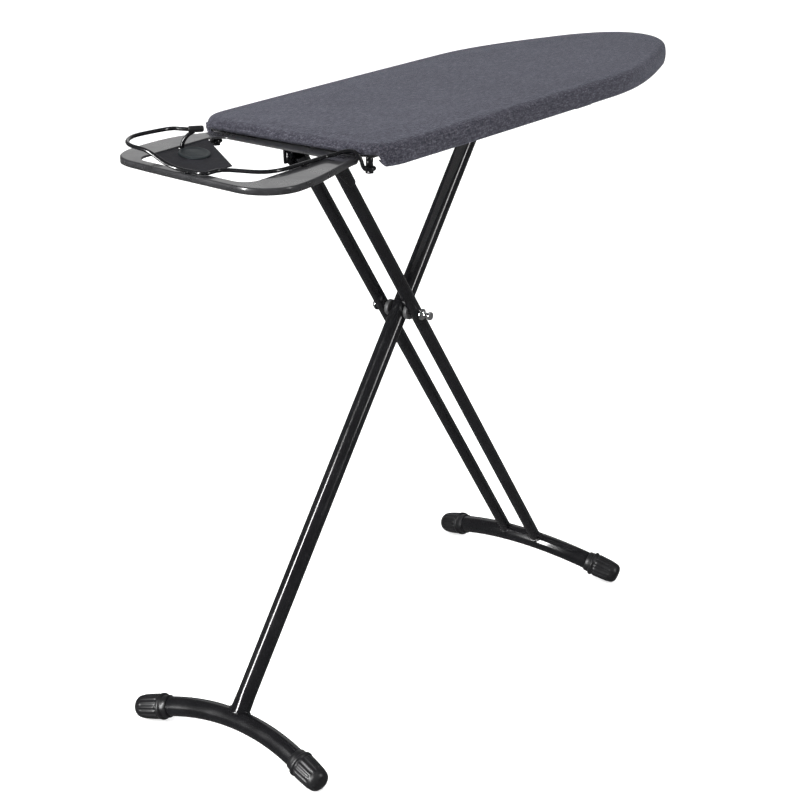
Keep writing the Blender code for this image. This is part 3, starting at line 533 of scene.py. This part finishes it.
def make_cover():
    """Fitted cloth cover: crowned top, rounded shoulder, gathered skirt, hem drawn in below."""
    loop, length = resample(board_outline(), COVER_STEPS)
    normals = outward_normals(loop)
    step = length / COVER_STEPS
    hems = np.array([hem_height(x, y) for x, y in loop])
    shoulder_z, shoulder_d = 0.0105, 0.0125
    rings = []

    def ring(inset, heights, bulge=None):
        points = []
        for k, ((x, y), (nx, ny)) in enumerate(zip(loop, normals)):
            out = -inset + (bulge(k, x, y) if bulge else 0.0)
            points.append(Vector((x + nx * out, y + ny * out, heights[k])))
        rings.append(points)

    under = np.where(hems > SKIRT_BOTTOM + 0.004, 0.004, 0.024)
    for share in np.linspace(0, 1, 9)[:-1]:
        ruffle = [0.0016 * (1 - share) * noise.noise(Vector((k * step * 160, share * 2, 21.0)))
                  for k in range(COVER_STEPS)]
        points = []
        for k, ((x, y), (nx, ny)) in enumerate(zip(loop, normals)):
            inset = under[k] * (1 - share) + 0.0040 * share
            rise = 0.0032 * (1 - share) ** 1.5 + ruffle[k]
            points.append(Vector((x - nx * inset, y - ny * inset, hems[k] + max(rise, 0.0002))))
        rings.append(points)
    for share in np.linspace(0, 1, 4):
        angle = pi / 2 * share
        ring(0.0035 - 0.0030 * sin(angle), hems + 0.0032 * (1 - cos(angle)) + 0.0001,
             lambda k, x, y, share=share: share * gather(k * step, 0.0, x, y))
    body_low = hems + CURTAIN
    body_high = TOP_Z - shoulder_z
    for share in np.linspace(0, 1, 13)[1:]:
        heights = body_low + (body_high - body_low) * share
        ring(0.0005 - 0.0009 * sin(pi * share), heights,
             lambda k, x, y, share=share: gather(k * step, share, x, y))
    for share in np.linspace(0, 1, 8)[1:]:
        angle = pi / 2 * share
        fade = (1 - share)
        ring(shoulder_d * (1 - cos(angle)) + 0.0005,
             np.full(COVER_STEPS, body_high + (shoulder_z - 0.0018) * sin(angle)),
             lambda k, x, y, fade=fade: fade * gather(k * step, 1.0, x, y))
    edge = rings[-1]
    for share in np.r_[0.03, 0.07, 0.12, np.linspace(0.18, 1.0, 24)]:
        points = []
        for place in edge:
            ridge = Vector((min(max(place.x, SPINE[0]), SPINE[1]), 0.0, 0.0))
            flat = Vector((place.x, place.y, 0.0)).lerp(ridge, float(share))
            flat.z = top_height(float(share), flat.x, flat.y)
            points.append(flat)
        rings.append(points)
    bm = bmesh.new()
    loft(bm, rings)
    bmesh.ops.remove_doubles(bm, verts=bm.verts, dist=0.0001)
    bmesh.ops.recalc_face_normals(bm, faces=bm.faces)
    cover = add_object("cover_cloth", bm, FABRIC, "board", sharp=3.0)
    thicken(cover, COVER_THICK)
    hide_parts("cover")


def make_pad():
    """Felt under the cover: a slab with a soft upper edge."""
    loop, _ = resample(board_outline(), 420)
    normals = outward_normals(loop)
    rings = []
    for inset, height in ((0.0045, PAD_BOTTOM), (0.0036, PAD_BOTTOM + 0.0006), (0.0034, PAD_BOTTOM + 0.0016),
                          (0.0040, PAD_BOTTOM + 0.0030), (0.0062, PAD_BOTTOM + 0.0046),
                          (0.0096, PAD_BOTTOM + 0.0057), (0.0140, PAD_BOTTOM + 0.0060)):
        rings.append([Vector((x - nx * inset, y - ny * inset, height))
                      for (x, y), (nx, ny) in zip(loop, normals)])
    edge = rings[-1]
    bottom = rings[0]

    def towards_ridge(source, height_of):
        for share in np.linspace(0, 1, 15)[1:]:
            points = []
            for place in source:
                ridge = Vector((min(max(place.x, SPINE[0]), SPINE[1]), 0.0, 0.0))
                flat = Vector((place.x, place.y, 0.0)).lerp(ridge, float(share))
                flat.z = height_of(float(share), flat.x, flat.y)
                points.append(flat)
            yield points

    top = list(towards_ridge(edge, lambda share, x, y: top_height(share, x, y) - 0.0017))
    lower = list(towards_ridge(bottom, lambda share, x, y: PAD_BOTTOM))
    bm = bmesh.new()
    loft(bm, lower[::-1] + rings + top)
    bmesh.ops.remove_doubles(bm, verts=bm.verts, dist=0.0001)
    bmesh.ops.recalc_face_normals(bm, faces=bm.faces)
    pad = add_object("felt_pad", bm, FELT, "board", sharp=1.2)
    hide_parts("pad")


EDGE_INSET = 0.004          # the deck's edge, in from the cover's outline
HOLES_INSET = 0.022
HOLE_PITCH = 0.0165
HOLE_R = 0.0048


def make_deck():
    """Perforated steel top, with rows of round holes, and the wire rolled into its edge."""
    loop, _ = resample(board_outline(), 300)
    normals = outward_normals(loop)
    edge = loop - normals * EDGE_INSET
    inner = loop - normals * HOLES_INSET
    row_step = HOLE_PITCH * 0.866
    holes = []
    order = np.argsort(inner[inner[:, 1] >= 0][:, 0])
    upper = inner[inner[:, 1] >= 0][order]
    row_count = int(0.16 / row_step)
    for row in range(-row_count, row_count + 1):
        y = row * row_step
        shift = HOLE_PITCH / 2 if row % 2 else 0.0
        for column in range(int((NOSE_X - REAR_X) / HOLE_PITCH)):
            x = REAR_X + 0.024 + shift + column * HOLE_PITCH
            if x > inner[:, 0].max():
                continue
            if abs(y) < np.interp(x, upper[:, 0], upper[:, 1]):
                holes.append([(x + HOLE_R * cos(2 * pi * k / 10), y + HOLE_R * sin(2 * pi * k / 10))
                              for k in range(10)])
    bm = filled_sheet("deck_outline", edge, holes, DECK_TOP - DECK_THICK / 2, DECK_THICK / 2)
    deck = add_object("perforated_deck", bm, STEEL, "board", sharp=0.7)
    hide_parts("deck")
    bm = bmesh.new()
    rim_z = DECK_TOP - DECK_THICK - 0.0002 - RIM_R
    rim = loop - normals * (EDGE_INSET + RIM_R)
    sweep(bm, [(x, y, rim_z) for x, y in rim], RIM_R, 14, closed=True)
    wire = add_object("deck_edge_wire", bm, STEEL, "board")
    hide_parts("deck_rim")


# ---------------------------------------------------------------- iron rest

def rest_outline():
    """Outer edge of the iron rest, which is a little skewed, clockwise from its rear middle."""
    left = np.vstack([
        bezier((REST_REAR_X, 0.0), (REST_REAR_X + 0.0025, 0.035), (REST_REAR_X + 0.006, 0.070),
               (REST_REAR_X + 0.0095, 0.098), 24),
        bezier((REST_REAR_X + 0.0095, 0.098), (REST_REAR_X + 0.013, 0.126), (-0.440, 0.1440),
               (-0.410, 0.1490), 24),
        bezier((-0.410, 0.1490), (-0.385, 0.1530), (-0.350, 0.1545), (-0.325, 0.1500), 24),
        bezier((-0.325, 0.1500), (-0.300, 0.1455), (-0.285, 0.134), (-0.262, 0.128), 24)])
    right = np.vstack([
        bezier((REST_REAR_X, 0.0), (REST_REAR_X - 0.002, 0.035), (REST_REAR_X - 0.005, 0.070),
               (REST_REAR_X - 0.0065, 0.100), 24),
        bezier((REST_REAR_X - 0.0065, 0.100), (REST_REAR_X - 0.008, 0.135), (-0.452, 0.1580),
               (-0.424, 0.1580), 24),
        bezier((-0.424, 0.1580), (-0.400, 0.1580), (-0.370, 0.152), (-0.345, 0.1455), 24),
        bezier((-0.345, 0.1455), (-0.315, 0.138), (-0.290, 0.129), (-0.262, 0.128), 24)])
    under_cover = np.array([(-0.2600, 0.1285), (-0.2580, 0.1320), (-0.2575, 0.1420), (-0.2570, 0.1448),
                            (-0.2550, 0.1462), (-0.2400, 0.1465), (-0.2250, 0.1465),
                            (REST_FRONT_X, 0.1465)])
    mirror = np.array([1.0, -1.0])
    return np.vstack([left, under_cover, (under_cover * mirror)[::-1], (right[1:] * mirror)[::-1]])


def rolled_edge(bm, loop, outward, depth, radius, height, support=0.0012):
    """Edge strip of a pressed sheet: a flat margin, a round shoulder, then a flange down to depth."""
    rings = [[Vector((x - ox * support, y - oy * support, height))
              for (x, y), (ox, oy) in zip(loop, outward)]]
    for angle in np.linspace(0, pi / 2, 6):
        rings.append([Vector((x + ox * min(radius, d) * sin(angle), y + oy * min(radius, d) * sin(angle),
                              height - min(radius, d) * (1 - cos(angle))))
                      for (x, y), (ox, oy), d in zip(loop, outward, depth)])
    rings.append([Vector((x + ox * min(radius, d), y + oy * min(radius, d), height - d))
                  for (x, y), (ox, oy), d in zip(loop, outward, depth)])
    loft(bm, rings)


def make_rest_plate():
    """Pressed iron rest: rim turned down all round, opening with a rolled lip, flange by the board."""
    roll = 0.0022
    lip_roll = 0.0015
    outline, _ = resample(rest_outline(), 520)
    out = outward_normals(outline)
    flat_edge = outline - out * roll
    rim_share = 1 - ease(outline[:, 0], -0.2690, -0.2610)
    rim_depth = 0.0006 + (REST_RIM - 0.0006) * rim_share
    hole, _ = resample(arc_corner(OPENING_CORNERS, OPENING_CORNER_R), 260)
    into = -outward_normals(hole)
    hole_edge = hole - into * lip_roll
    flange = ease(hole[:, 0], OPEN_FRONT_X - 0.0012, OPEN_FRONT_X - 0.0002) * (
        1 - ease(np.abs(hole[:, 1]), 0.066, 0.074))
    lip_depth = 0.0028 + (REST_RIM - 0.0028) * flange
    support = 0.0012
    bm = filled_sheet("rest", flat_edge - out * support, [hole_edge - into * support], REST_TOP)
    rolled_edge(bm, flat_edge, out, rim_depth, roll, REST_TOP, support)
    rolled_edge(bm, hole_edge, into, lip_depth, lip_roll, REST_TOP, support)
    face_up(bm)
    plate = add_object("iron_rest_plate", bm, PLATE, "board", sharp=0.9)
    thicken(plate, REST_THICK)
    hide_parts("rest_plate")


def make_heel_panel():
    """Matt heat-proof panel with a turned edge, and the oval pad raised on it."""
    top = REST_TOP - REST_THICK - GAP
    loop, _ = resample(arc_corner(PANEL_CORNERS, 0.0034), 360)
    out = outward_normals(loop)
    bm = filled_sheet("panel", loop - out * 0.0018, [], top)
    rolled_edge(bm, loop - out * 0.0010, out, np.full(len(loop), 0.0016), 0.0010, top, 0.0008)
    face_up(bm)
    panel = add_object("heel_rest_panel", bm, MATTE, "board", sharp=0.9)
    thicken(panel, 0.0008)
    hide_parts("heel_panel")
    base = top + 0.0001
    rings = []
    for grow, height in ((0.0, 0.0), (0.0004, 0.0010), (0.0, 0.0019), (-0.0014, 0.0024),
                         (-0.0034, 0.0022), (-0.0050, 0.0016), (-0.0100, 0.0014), (-0.0160, 0.0014)):
        ring = []
        for k in range(64):
            angle = 2 * pi * k / 64
            along = (PAD_HALF[0] + grow) * cos(angle)
            across = (PAD_HALF[1] + grow) * sin(angle)
            ring.append(Vector((PAD_CENTRE[0] + along * cos(PAD_TURN) - across * sin(PAD_TURN),
                                PAD_CENTRE[1] + along * sin(PAD_TURN) + across * cos(PAD_TURN),
                                base + height)))
        rings.append(ring)
    bm = bmesh.new()
    made = loft(bm, rings)
    bm.faces.new(made[-1])
    bm.faces.new(made[0])
    bmesh.ops.recalc_face_normals(bm, faces=bm.faces)
    pad = add_object("heel_rest_pad", bm, SILICONE, "board", sharp=0.9)
    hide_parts("heel_pad")


def eye_points(side, turns=0.80, steps=16):
    """Ring of wire round a guard bolt, ending on the side of the iron rest."""
    points = []
    for step in range(steps + 1):
        angle = pi - side * 2 * pi * turns * (1 - step / steps)
        points.append((BOLT_X + EYE_R * cos(angle), side * EYE_Y + EYE_R * sin(angle), EYE_Z))
    return points


def make_guard():
    """Bent wire: an eye under the rest, over the arm, along the opening and up into the hoop."""
    rest = REST_TOP + GAP + WIRE_R
    over_arm = [(-0.2615, -0.1360, 0.8626), (-0.2660, -0.1360, 0.8676), (-0.2685, -0.1355, 0.8746),
                (-0.2705, -0.1330, 0.8816), (-0.2730, -0.1275, 0.8866), (-0.2770, -0.1210, 0.8878),
                (-0.2830, -0.1145, 0.8866), (-0.2905, -0.1080, 0.8838)]
    near = [(-0.302, -0.1000, rest), (-0.340, -0.1010, rest), (-0.372, -0.1010, rest),
            (-0.3920, -0.0990, rest), (-0.4080, -0.0915, rest), (-0.4175, -0.0790, rest),
            (-0.4240, -0.0620, rest), (-0.4300, -0.0470, rest), (-0.4370, -0.0390, rest),
            (-0.4470, -0.0365, rest), (-0.4570, -0.0360, rest), (-0.4625, -0.0320, rest),
            (-0.4645, -0.0220, rest), (-0.4640, 0.0040, rest), (-0.4655, 0.0180, rest + 0.002),
            (-0.4685, 0.0320, rest + 0.0075), (-0.4710, 0.0470, rest + 0.0155),
            (-0.4720, 0.0600, HOOP_Z - 0.001), (-0.4715, 0.0740, HOOP_Z), (-0.4680, 0.0880, HOOP_Z),
            (-0.4600, 0.1015, HOOP_Z), (-0.4490, 0.1120, HOOP_Z), (-0.4350, 0.1200, HOOP_Z),
            (-0.4180, 0.1235, HOOP_Z), (-0.3900, 0.1205, HOOP_Z), (-0.3700, 0.1165, HOOP_Z),
            (-0.3610, 0.1110, HOOP_Z), (-0.3575, 0.1020, HOOP_Z), SLEEVE_FROM, HOOP_END]
    bm = bmesh.new()
    sweep(bm, smooth_line(eye_points(-1) + over_arm + near, 4), WIRE_R, 18, end_round=0.0012)
    guard = add_object("guard_wire_near", bm, PAINT, "board", sharp=1.0)
    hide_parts("guard_wire")
    far = [(-0.2645, 0.1360, EYE_Z), (-0.2800, 0.1335, 0.8620), (-0.3050, 0.1265, 0.8630),
           (-0.3300, 0.1165, 0.8640), (-0.3480, 0.1065, 0.8650), (-0.3570, 0.1010, 0.8675),
           (-0.3608, 0.0992, 0.8725), (-0.3610, 0.0985, 0.8790), (-0.3600, 0.0972, 0.8850),
           (-0.3575, 0.0950, 0.8905), (-0.3540, 0.0922, 0.8950), (-0.3485, 0.0877, 0.8988)]
    bm = bmesh.new()
    sweep(bm, smooth_line(eye_points(1) + far, 4), WIRE_R, 18, end_round=0.0012)
    strut = add_object("guard_wire_far", bm, PAINT, "board", sharp=1.0)
    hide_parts("guard_strut")
    tip = Vector(HOOP_END)
    heading = (tip - Vector(SLEEVE_FROM)).normalized()
    bm = bmesh.new()
    turned(bm, [(0.0029, -0.0052), (0.0040, -0.0050), (0.0045, -0.0042), (0.0045, 0.0125),
                (0.0042, 0.0141), (0.0034, 0.0151), (0.0018, 0.0155), (0.0, 0.0156)], tip, heading, 24)
    sleeve = add_object("guard_tip_sleeve", bm, RUBBER, "board")
    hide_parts("guard_sleeve")


def make_rest_welds():
    """Small welds where the wire lies on the pressed plate."""
    spots = (("guard_weld_rear", (-0.4643, -0.006), 0.0), ("guard_weld_near", (-0.345, -0.1010), 1.0))
    for name, (x, y), along_x in spots:
        bm = bmesh.new()
        rings = []
        for step in range(9):
            share = step / 8
            half = 0.0055 * sin(pi * share) + 0.0004
            reach = 0.0052 * (2 * share - 1)
            height = 0.0020 * sin(pi * share) + 0.0002
            ring = []
            for k in range(16):
                angle = 2 * pi * k / 16
                side, up = half * cos(angle), height * (0.4 + 0.6 * max(0.0, sin(angle)))
                bump = 1 + 0.12 * noise.noise(Vector((x * 300 + k, y * 300, step)))
                across = (reach, side * bump) if along_x else (side * bump, reach)
                ring.append(Vector((x + across[0], y + across[1],
                                    REST_TOP + up * bump * (1 if sin(angle) > 0 else 0.02))))
            rings.append(ring)
        made = loft(bm, rings)
        bm.faces.new(made[0])
        bm.faces.new(made[-1])
        bmesh.ops.recalc_face_normals(bm, faces=bm.faces)
        add_object(name, bm, PAINT, "board", sharp=3.0)


# ---------------------------------------------------------------- legs and feet

def leg_line(foot_at):
    """A leg's foot, its unit direction towards the pivot, and its length up to there."""
    foot = Vector((foot_at[0], 0.0, foot_at[1]))
    up = Vector((0.0, 0.0, PIVOT_Z)) - foot
    return foot, up.normalized(), up.length


def arch_line(foot_at, half, steps=48):
    """Centre line of a foot bar: an arc in the leg's plane with straight ends in the caps."""
    foot, up, _ = leg_line(foot_at)
    edge = asin(half / ARCH_R)
    points = []
    for step in range(steps + 1):
        angle = edge * (2 * step / steps - 1)
        points.append(foot + Vector((0, ARCH_R * sin(angle), 0))
                      + up * (ARCH_RISE - ARCH_R * (1 - cos(angle))))
    along = {side: Vector((0, side * cos(edge), 0)) - up * sin(edge) for side in (1, -1)}
    points.insert(0, points[0] + along[-1] * BAR_INTO_CAP)
    points.append(points[-1] + along[1] * BAR_INTO_CAP)
    return points, along


def bar_centre(foot_at, y):
    """Centre of a foot bar's arc at a sideways place."""
    foot, up, _ = leg_line(foot_at)
    return foot + Vector((0, y, 0)) + up * (ARCH_RISE - ARCH_R + sqrt(ARCH_R ** 2 - y ** 2))


def make_foot_bar(place, foot_at, half, body):
    points, _ = arch_line(foot_at, half)
    bm = bmesh.new()
    sweep(bm, points, FOOT_R, 40)
    bar = add_object(place + "_foot_arch", bm, PAINT, body, sharp=1.0)
    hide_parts(place + "_foot_bar")


def cap_profile():
    """(radius, height) of a foot cap from its sleeve's mouth to its rounded tip."""
    profile = [(0.0153, 0.0), (0.0165, 0.0), (0.01705, 0.0007), (0.0172, 0.0060), (0.0174, 0.0088),
               (0.0190, 0.0096), (0.0200, 0.0103), (0.0203, 0.0115), (0.0203, 0.0132),
               (0.0200, 0.0144), (0.0192, 0.0151), (0.0184, 0.0155), (0.0183, 0.0168),
               (0.0189, 0.0178), (0.0194, 0.0190)]
    profile += [(0.0194 - 0.0010 * (h / 9) ** 1.5, 0.0190 + 0.0028 * h) for h in range(1, 10)]
    profile += [(0.0182, 0.0456), (0.0178, 0.0470), (0.0174, 0.0482)]
    for step in range(1, 8):
        angle = pi / 2 * step / 7
        profile.append((0.0080 + 0.0094 * cos(angle), 0.0482 + 0.0108 * sin(angle)))
    profile += [(0.0055, 0.05935), (0.0, 0.0594)]
    return profile


def cap_flutes(radius, height, angle):
    """Sixteen ribs along the grip; they fade out at the ring and at the smooth tip."""
    share = float(ease(height, 0.0160, 0.0185) * (1 - ease(height, 0.0440, 0.0476)))
    wave = cos(16 * angle)
    groove = 0.5 - 0.5 * wave / (0.35 + 0.65 * abs(wave))
    return radius - 0.0011 * share * groove


def make_foot_cap(place, word, side, foot_at, half, body):
    points, along = arch_line(foot_at, half)
    start = points[-2] if side > 0 else points[1]
    bm = bmesh.new()
    turned(bm, cap_profile(), start, along[side], 160, cap_flutes)
    cap = add_object("%s_grip_cap_%s" % (place, word), bm, RUBBER, body, sharp=1.0)
    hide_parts("%s_cap_%s" % (place, word))


def make_leg_tube(name, node, foot_at, y, radius, top_distance, body):
    """Painted tube that ends in the foot bar, a little flattened where it meets the bar."""
    foot, up, _ = leg_line(foot_at)
    low = bar_centre(foot_at, y)
    high = foot + Vector((0, y, 0)) + up * top_distance
    length = (high - low).length
    across = up.cross(Vector((0, 1, 0))).normalized()
    stations = [0.0, 0.008, 0.012, 0.016, 0.020, 0.026, 0.034, 0.045]
    stations += list(np.linspace(0.07, length - 0.004, 26)) + [length]
    rings = []
    sides = 48
    bore_depth = 0.012
    for at in stations:
        flat = 1 - float(ease(at, 0.014, 0.044))
        centre = low + up * at
        wide, thin = radius * (1 + 0.12 * flat), radius * (1 - 0.10 * flat)
        rings.append([centre + Vector((0, 1, 0)) * (wide * cos(a)) + across * (thin * sin(a))
                      for a in (2 * pi * k / sides for k in range(sides))])
    end = sum(rings[-1], Vector()) / sides
    inner = [end.lerp(p, 1 - LEG_WALL / radius) for p in rings[-1]]
    down = [p - up * bore_depth for p in inner]
    bm = bmesh.new()
    made = loft(bm, rings + [inner, down])
    bm.faces.new(made[0])
    bm.faces.new(made[-1])
    bmesh.ops.recalc_face_normals(bm, faces=bm.faces)
    tube = add_object(name, bm, PAINT, body, sharp=0.8)
    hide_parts(node)


def make_weld(name, foot_at, y, radius, body):
    """Weld bead along the line where a leg tube meets the round foot bar."""
    _, up, _ = leg_line(foot_at)
    across = up.cross(Vector((0, 1, 0))).normalized()
    line = []
    for k in range(72):
        angle = 2 * pi * k / 72
        dy = radius * 1.12 * cos(angle)
        dv = radius * 0.92 * sin(angle)
        rise = sqrt(max(FOOT_R ** 2 - dv ** 2, 1e-8))
        line.append(bar_centre(foot_at, y + dy) + across * dv + up * (rise + 0.0002))
    bm = bmesh.new()
    sweep(bm, line, 0.0021, 12, closed=True, wobble=0.35)
    add_object(name, bm, PAINT, body, sharp=3.0)


def make_legs():
    _, up, to_pivot = leg_line(FRONT_FOOT)
    rise = (HINGE_Z - PIVOT_Z) / up.z
    make_leg_tube("inner_leg_tube", "inner_tube", FRONT_FOOT, 0.0, INNER_R, to_pivot + rise + 0.012,
                  "inner_leg")
    make_weld("front_foot_weld", FRONT_FOOT, 0.0, INNER_R, "inner_leg")
    _, up, to_pivot = leg_line(REAR_FOOT)
    rise = (HINGE_Z - PIVOT_Z) / up.z
    for side, word in ((1, "left"), (-1, "right")):
        make_leg_tube("outer_leg_tube_" + word, "outer_tube_" + word, REAR_FOOT, side * OUTER_Y, OUTER_R,
                      to_pivot + rise + 0.004, "outer_leg")
        make_weld("rear_foot_weld_" + word, REAR_FOOT, side * OUTER_Y, OUTER_R, "outer_leg")
    for place, foot_at, half, body in (("front", FRONT_FOOT, FRONT_HALF, "inner_leg"),
                                       ("rear", REAR_FOOT, REAR_HALF, "outer_leg")):
        make_foot_bar(place, foot_at, half, body)
        for side, word in ((1, "left"), (-1, "right")):
            make_foot_cap(place, word, side, foot_at, half, body)


def make_pivot():
    """Pivot rivet: domed head on the far side, turned sleeve and end on the near side."""
    outside = OUTER_Y + OUTER_R
    pivot = Vector((0, 0, PIVOT_Z))
    bm = bmesh.new()
    turned(bm, [(0.0, 0.0078), (0.0030, 0.0077), (0.0058, 0.0068), (0.0074, 0.0048), (0.0077, 0.0030),
                (0.0072, 0.0024), (0.0040, 0.0022), (0.0040, -0.0790), (0.0, -0.0790)],
           pivot + Vector((0, outside, 0)), (0, 1, 0), 40)
    bolt = add_object("pivot_rivet", bm, CHROME, "outer_leg")
    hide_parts("pivot_bolt")
    bm = bmesh.new()
    turned(bm, [(0.0042, 0.0022), (0.0058, 0.0022), (0.0066, 0.0027), (0.0068, 0.0040), (0.0060, 0.0050),
                (0.0046, 0.0056), (0.0043, 0.0070), (0.0043, 0.0128), (0.0048, 0.0134), (0.0062, 0.0137),
                (0.0066, 0.0143), (0.0066, 0.0168), (0.0060, 0.0177), (0.0040, 0.0180), (0.0, 0.0180)],
           pivot + Vector((0, -outside, 0)), (0, -1, 0), 40)
    nut = add_object("pivot_rivet_end", bm, CHROME, "outer_leg")
    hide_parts("pivot_nut")


# ---------------------------------------------------------------- carried-over CAD pieces

CAD_LOOKS = {
    "zinc": (ZINC, ("hinge_pin_left", "hinge_pin_right", "slider_rod",
                    "lever_pin", "lever_spring", "rest_rivet_left_1", "rest_rivet_left_2",
                    "rest_rivet_right_1", "rest_rivet_right_2")),
    "chrome": (CHROME, ("pivot_washer_left", "pivot_washer_right")),
    "black_rubber": (RUBBER, ("inner_tube_plug",)),
    "nylon": (NYLON, ("pivot_spacer_left", "pivot_spacer_right", "slider_glide_left", "slider_glide_right")),
    "black_plastic": (PLASTIC, ("lever_grip",)),
    "black_paint": (PAINT, ("guard_bolt_left", "guard_bolt_right", "rear_brace", "middle_brace",
                            "front_brace", "rail_left", "rail_right", "rest_strap_left",
                            "rest_strap_right", "hinge_bracket_left", "hinge_bracket_right",
                            "leg_lug_left", "leg_lug_right", "lock_lever", "lever_handle")),
}
UNBEVELLED = ("lever_spring", "lever_handle", "slider_rod")


def dress_cad_nodes():
    """Give the CAD pieces that stay visible their finish and a small rounding of their edges."""
    for slot, (material, nodes) in CAD_LOOKS.items():
        for name in nodes:
            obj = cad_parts[name]
            obj.data.materials.clear()
            obj.data.materials.append(material)
            weld = obj.modifiers.new("weld", "WELD")
            weld.merge_threshold = 1e-5
            if name not in UNBEVELLED:
                edges = obj.modifiers.new("edges", "BEVEL")
                edges.width = 0.0004
                edges.segments = 2
                edges.limit_method = "ANGLE"
                edges.angle_limit = 0.7
            for face in obj.data.polygons:
                face.use_smooth = True
            obj.data.set_sharp_from_angle(angle=0.6)


# ---------------------------------------------------------------- stage

def make_floor():
    """Pale studio sweep: a floor that curves up into a wall on every side."""
    s = Shader("studio_sweep", Roughness=0.9, Specular_IOR_Level=0.05, Emission_Strength=0.30,
               Emission_Color=(1.0, 1.0, 1.0, 1.0))
    s.colour(s.ramp(s.noise(3.0, 2.0), [(0.3, (0.88, 0.88, 0.88)), (0.7, (0.90, 0.90, 0.90))]))
    profile = [(0.0, 0.0), (2.5, 0.0), (4.5, 0.0)]
    profile += [(4.5 + 2.5 * sin(a), 2.5 * (1 - cos(a))) for a in np.linspace(0, pi / 2, 12)[1:]]
    profile += [(7.0, 6.0)]
    bm = bmesh.new()
    rings = [[Vector((r * cos(2 * pi * k / 64), r * sin(2 * pi * k / 64), z - 0.0005)) for k in range(64)]
             for r, z in profile]
    loft(bm, rings)
    bmesh.ops.remove_doubles(bm, verts=bm.verts, dist=1e-5)
    mesh = bpy.data.meshes.new("studio_sweep")
    bm.to_mesh(mesh)
    bm.free()
    for face in mesh.polygons:
        face.use_smooth = True
    mesh.materials.append(s.material)
    floor = bpy.data.objects.new("studio_sweep", mesh)
    bpy.context.scene.collection.objects.link(floor)
    floor.visible_glossy = False


def add_area(name, place, target, size, energy, camera=False, glossy=True):
    light = bpy.data.lights.new(name, "AREA")
    light.shape = "RECTANGLE"
    light.size, light.size_y = size
    light.energy = energy
    obj = bpy.data.objects.new(name, light)
    obj.location = place
    obj.rotation_euler = (Vector(target) - Vector(place)).to_track_quat("-Z", "Y").to_euler()
    obj.visible_camera = camera
    obj.visible_glossy = glossy
    bpy.context.scene.collection.objects.link(obj)


def make_lights():
    """Soft light from above, strip lights at the sides, and a panel that the flat steel reflects."""
    world = bpy.data.worlds.new("studio")
    world.use_nodes = True
    sky = world.node_tree.nodes["Background"]
    sky.inputs["Color"].default_value = (1.0, 1.0, 1.0, 1.0)
    sky.inputs["Strength"].default_value = 0.12
    bpy.context.scene.world = world
    add_area("overhead", (-0.4, -0.5, 3.4), (0.0, 0.0, 0.4), (5.5, 5.5), 260, glossy=False)
    add_area("left_strip", (-2.6, 0.9, 1.3), (0.0, 0.0, 0.5), (0.34, 2.4), 150)
    add_area("front_strip", (0.4, -3.0, 1.8), (0.0, 0.0, 0.5), (0.25, 2.4), 35)
    add_area("rear_panel", (3.4, 2.6, 2.2), (-0.3, 0.0, 0.8), (3.4, 2.4), 13)


CAMERA_AT = (-2.1116, -1.5616, 1.4410)
CAMERA_LENS = 81.26
CAMERA_DOWN = 0.3700        # radians below the horizon
CAMERA_TURN = 0.6367        # radians from the board's long direction


def make_camera():
    data = bpy.data.cameras.new("camera")
    data.sensor_width = 36.0
    data.lens = CAMERA_LENS
    camera = bpy.data.objects.new("camera", data)
    camera.location = CAMERA_AT
    camera.rotation_euler = (pi / 2 - CAMERA_DOWN, 0.0, CAMERA_TURN - pi / 2)
    bpy.context.scene.collection.objects.link(camera)
    bpy.context.scene.camera = camera


make_camera()
make_lights()
make_floor()
make_cover()
make_pad()
make_deck()
make_rest_plate()
make_heel_panel()
make_guard()
make_rest_welds()
make_legs()
make_pivot()
dress_cad_nodes()
bpy.context.scene.view_settings.view_transform = "Standard"
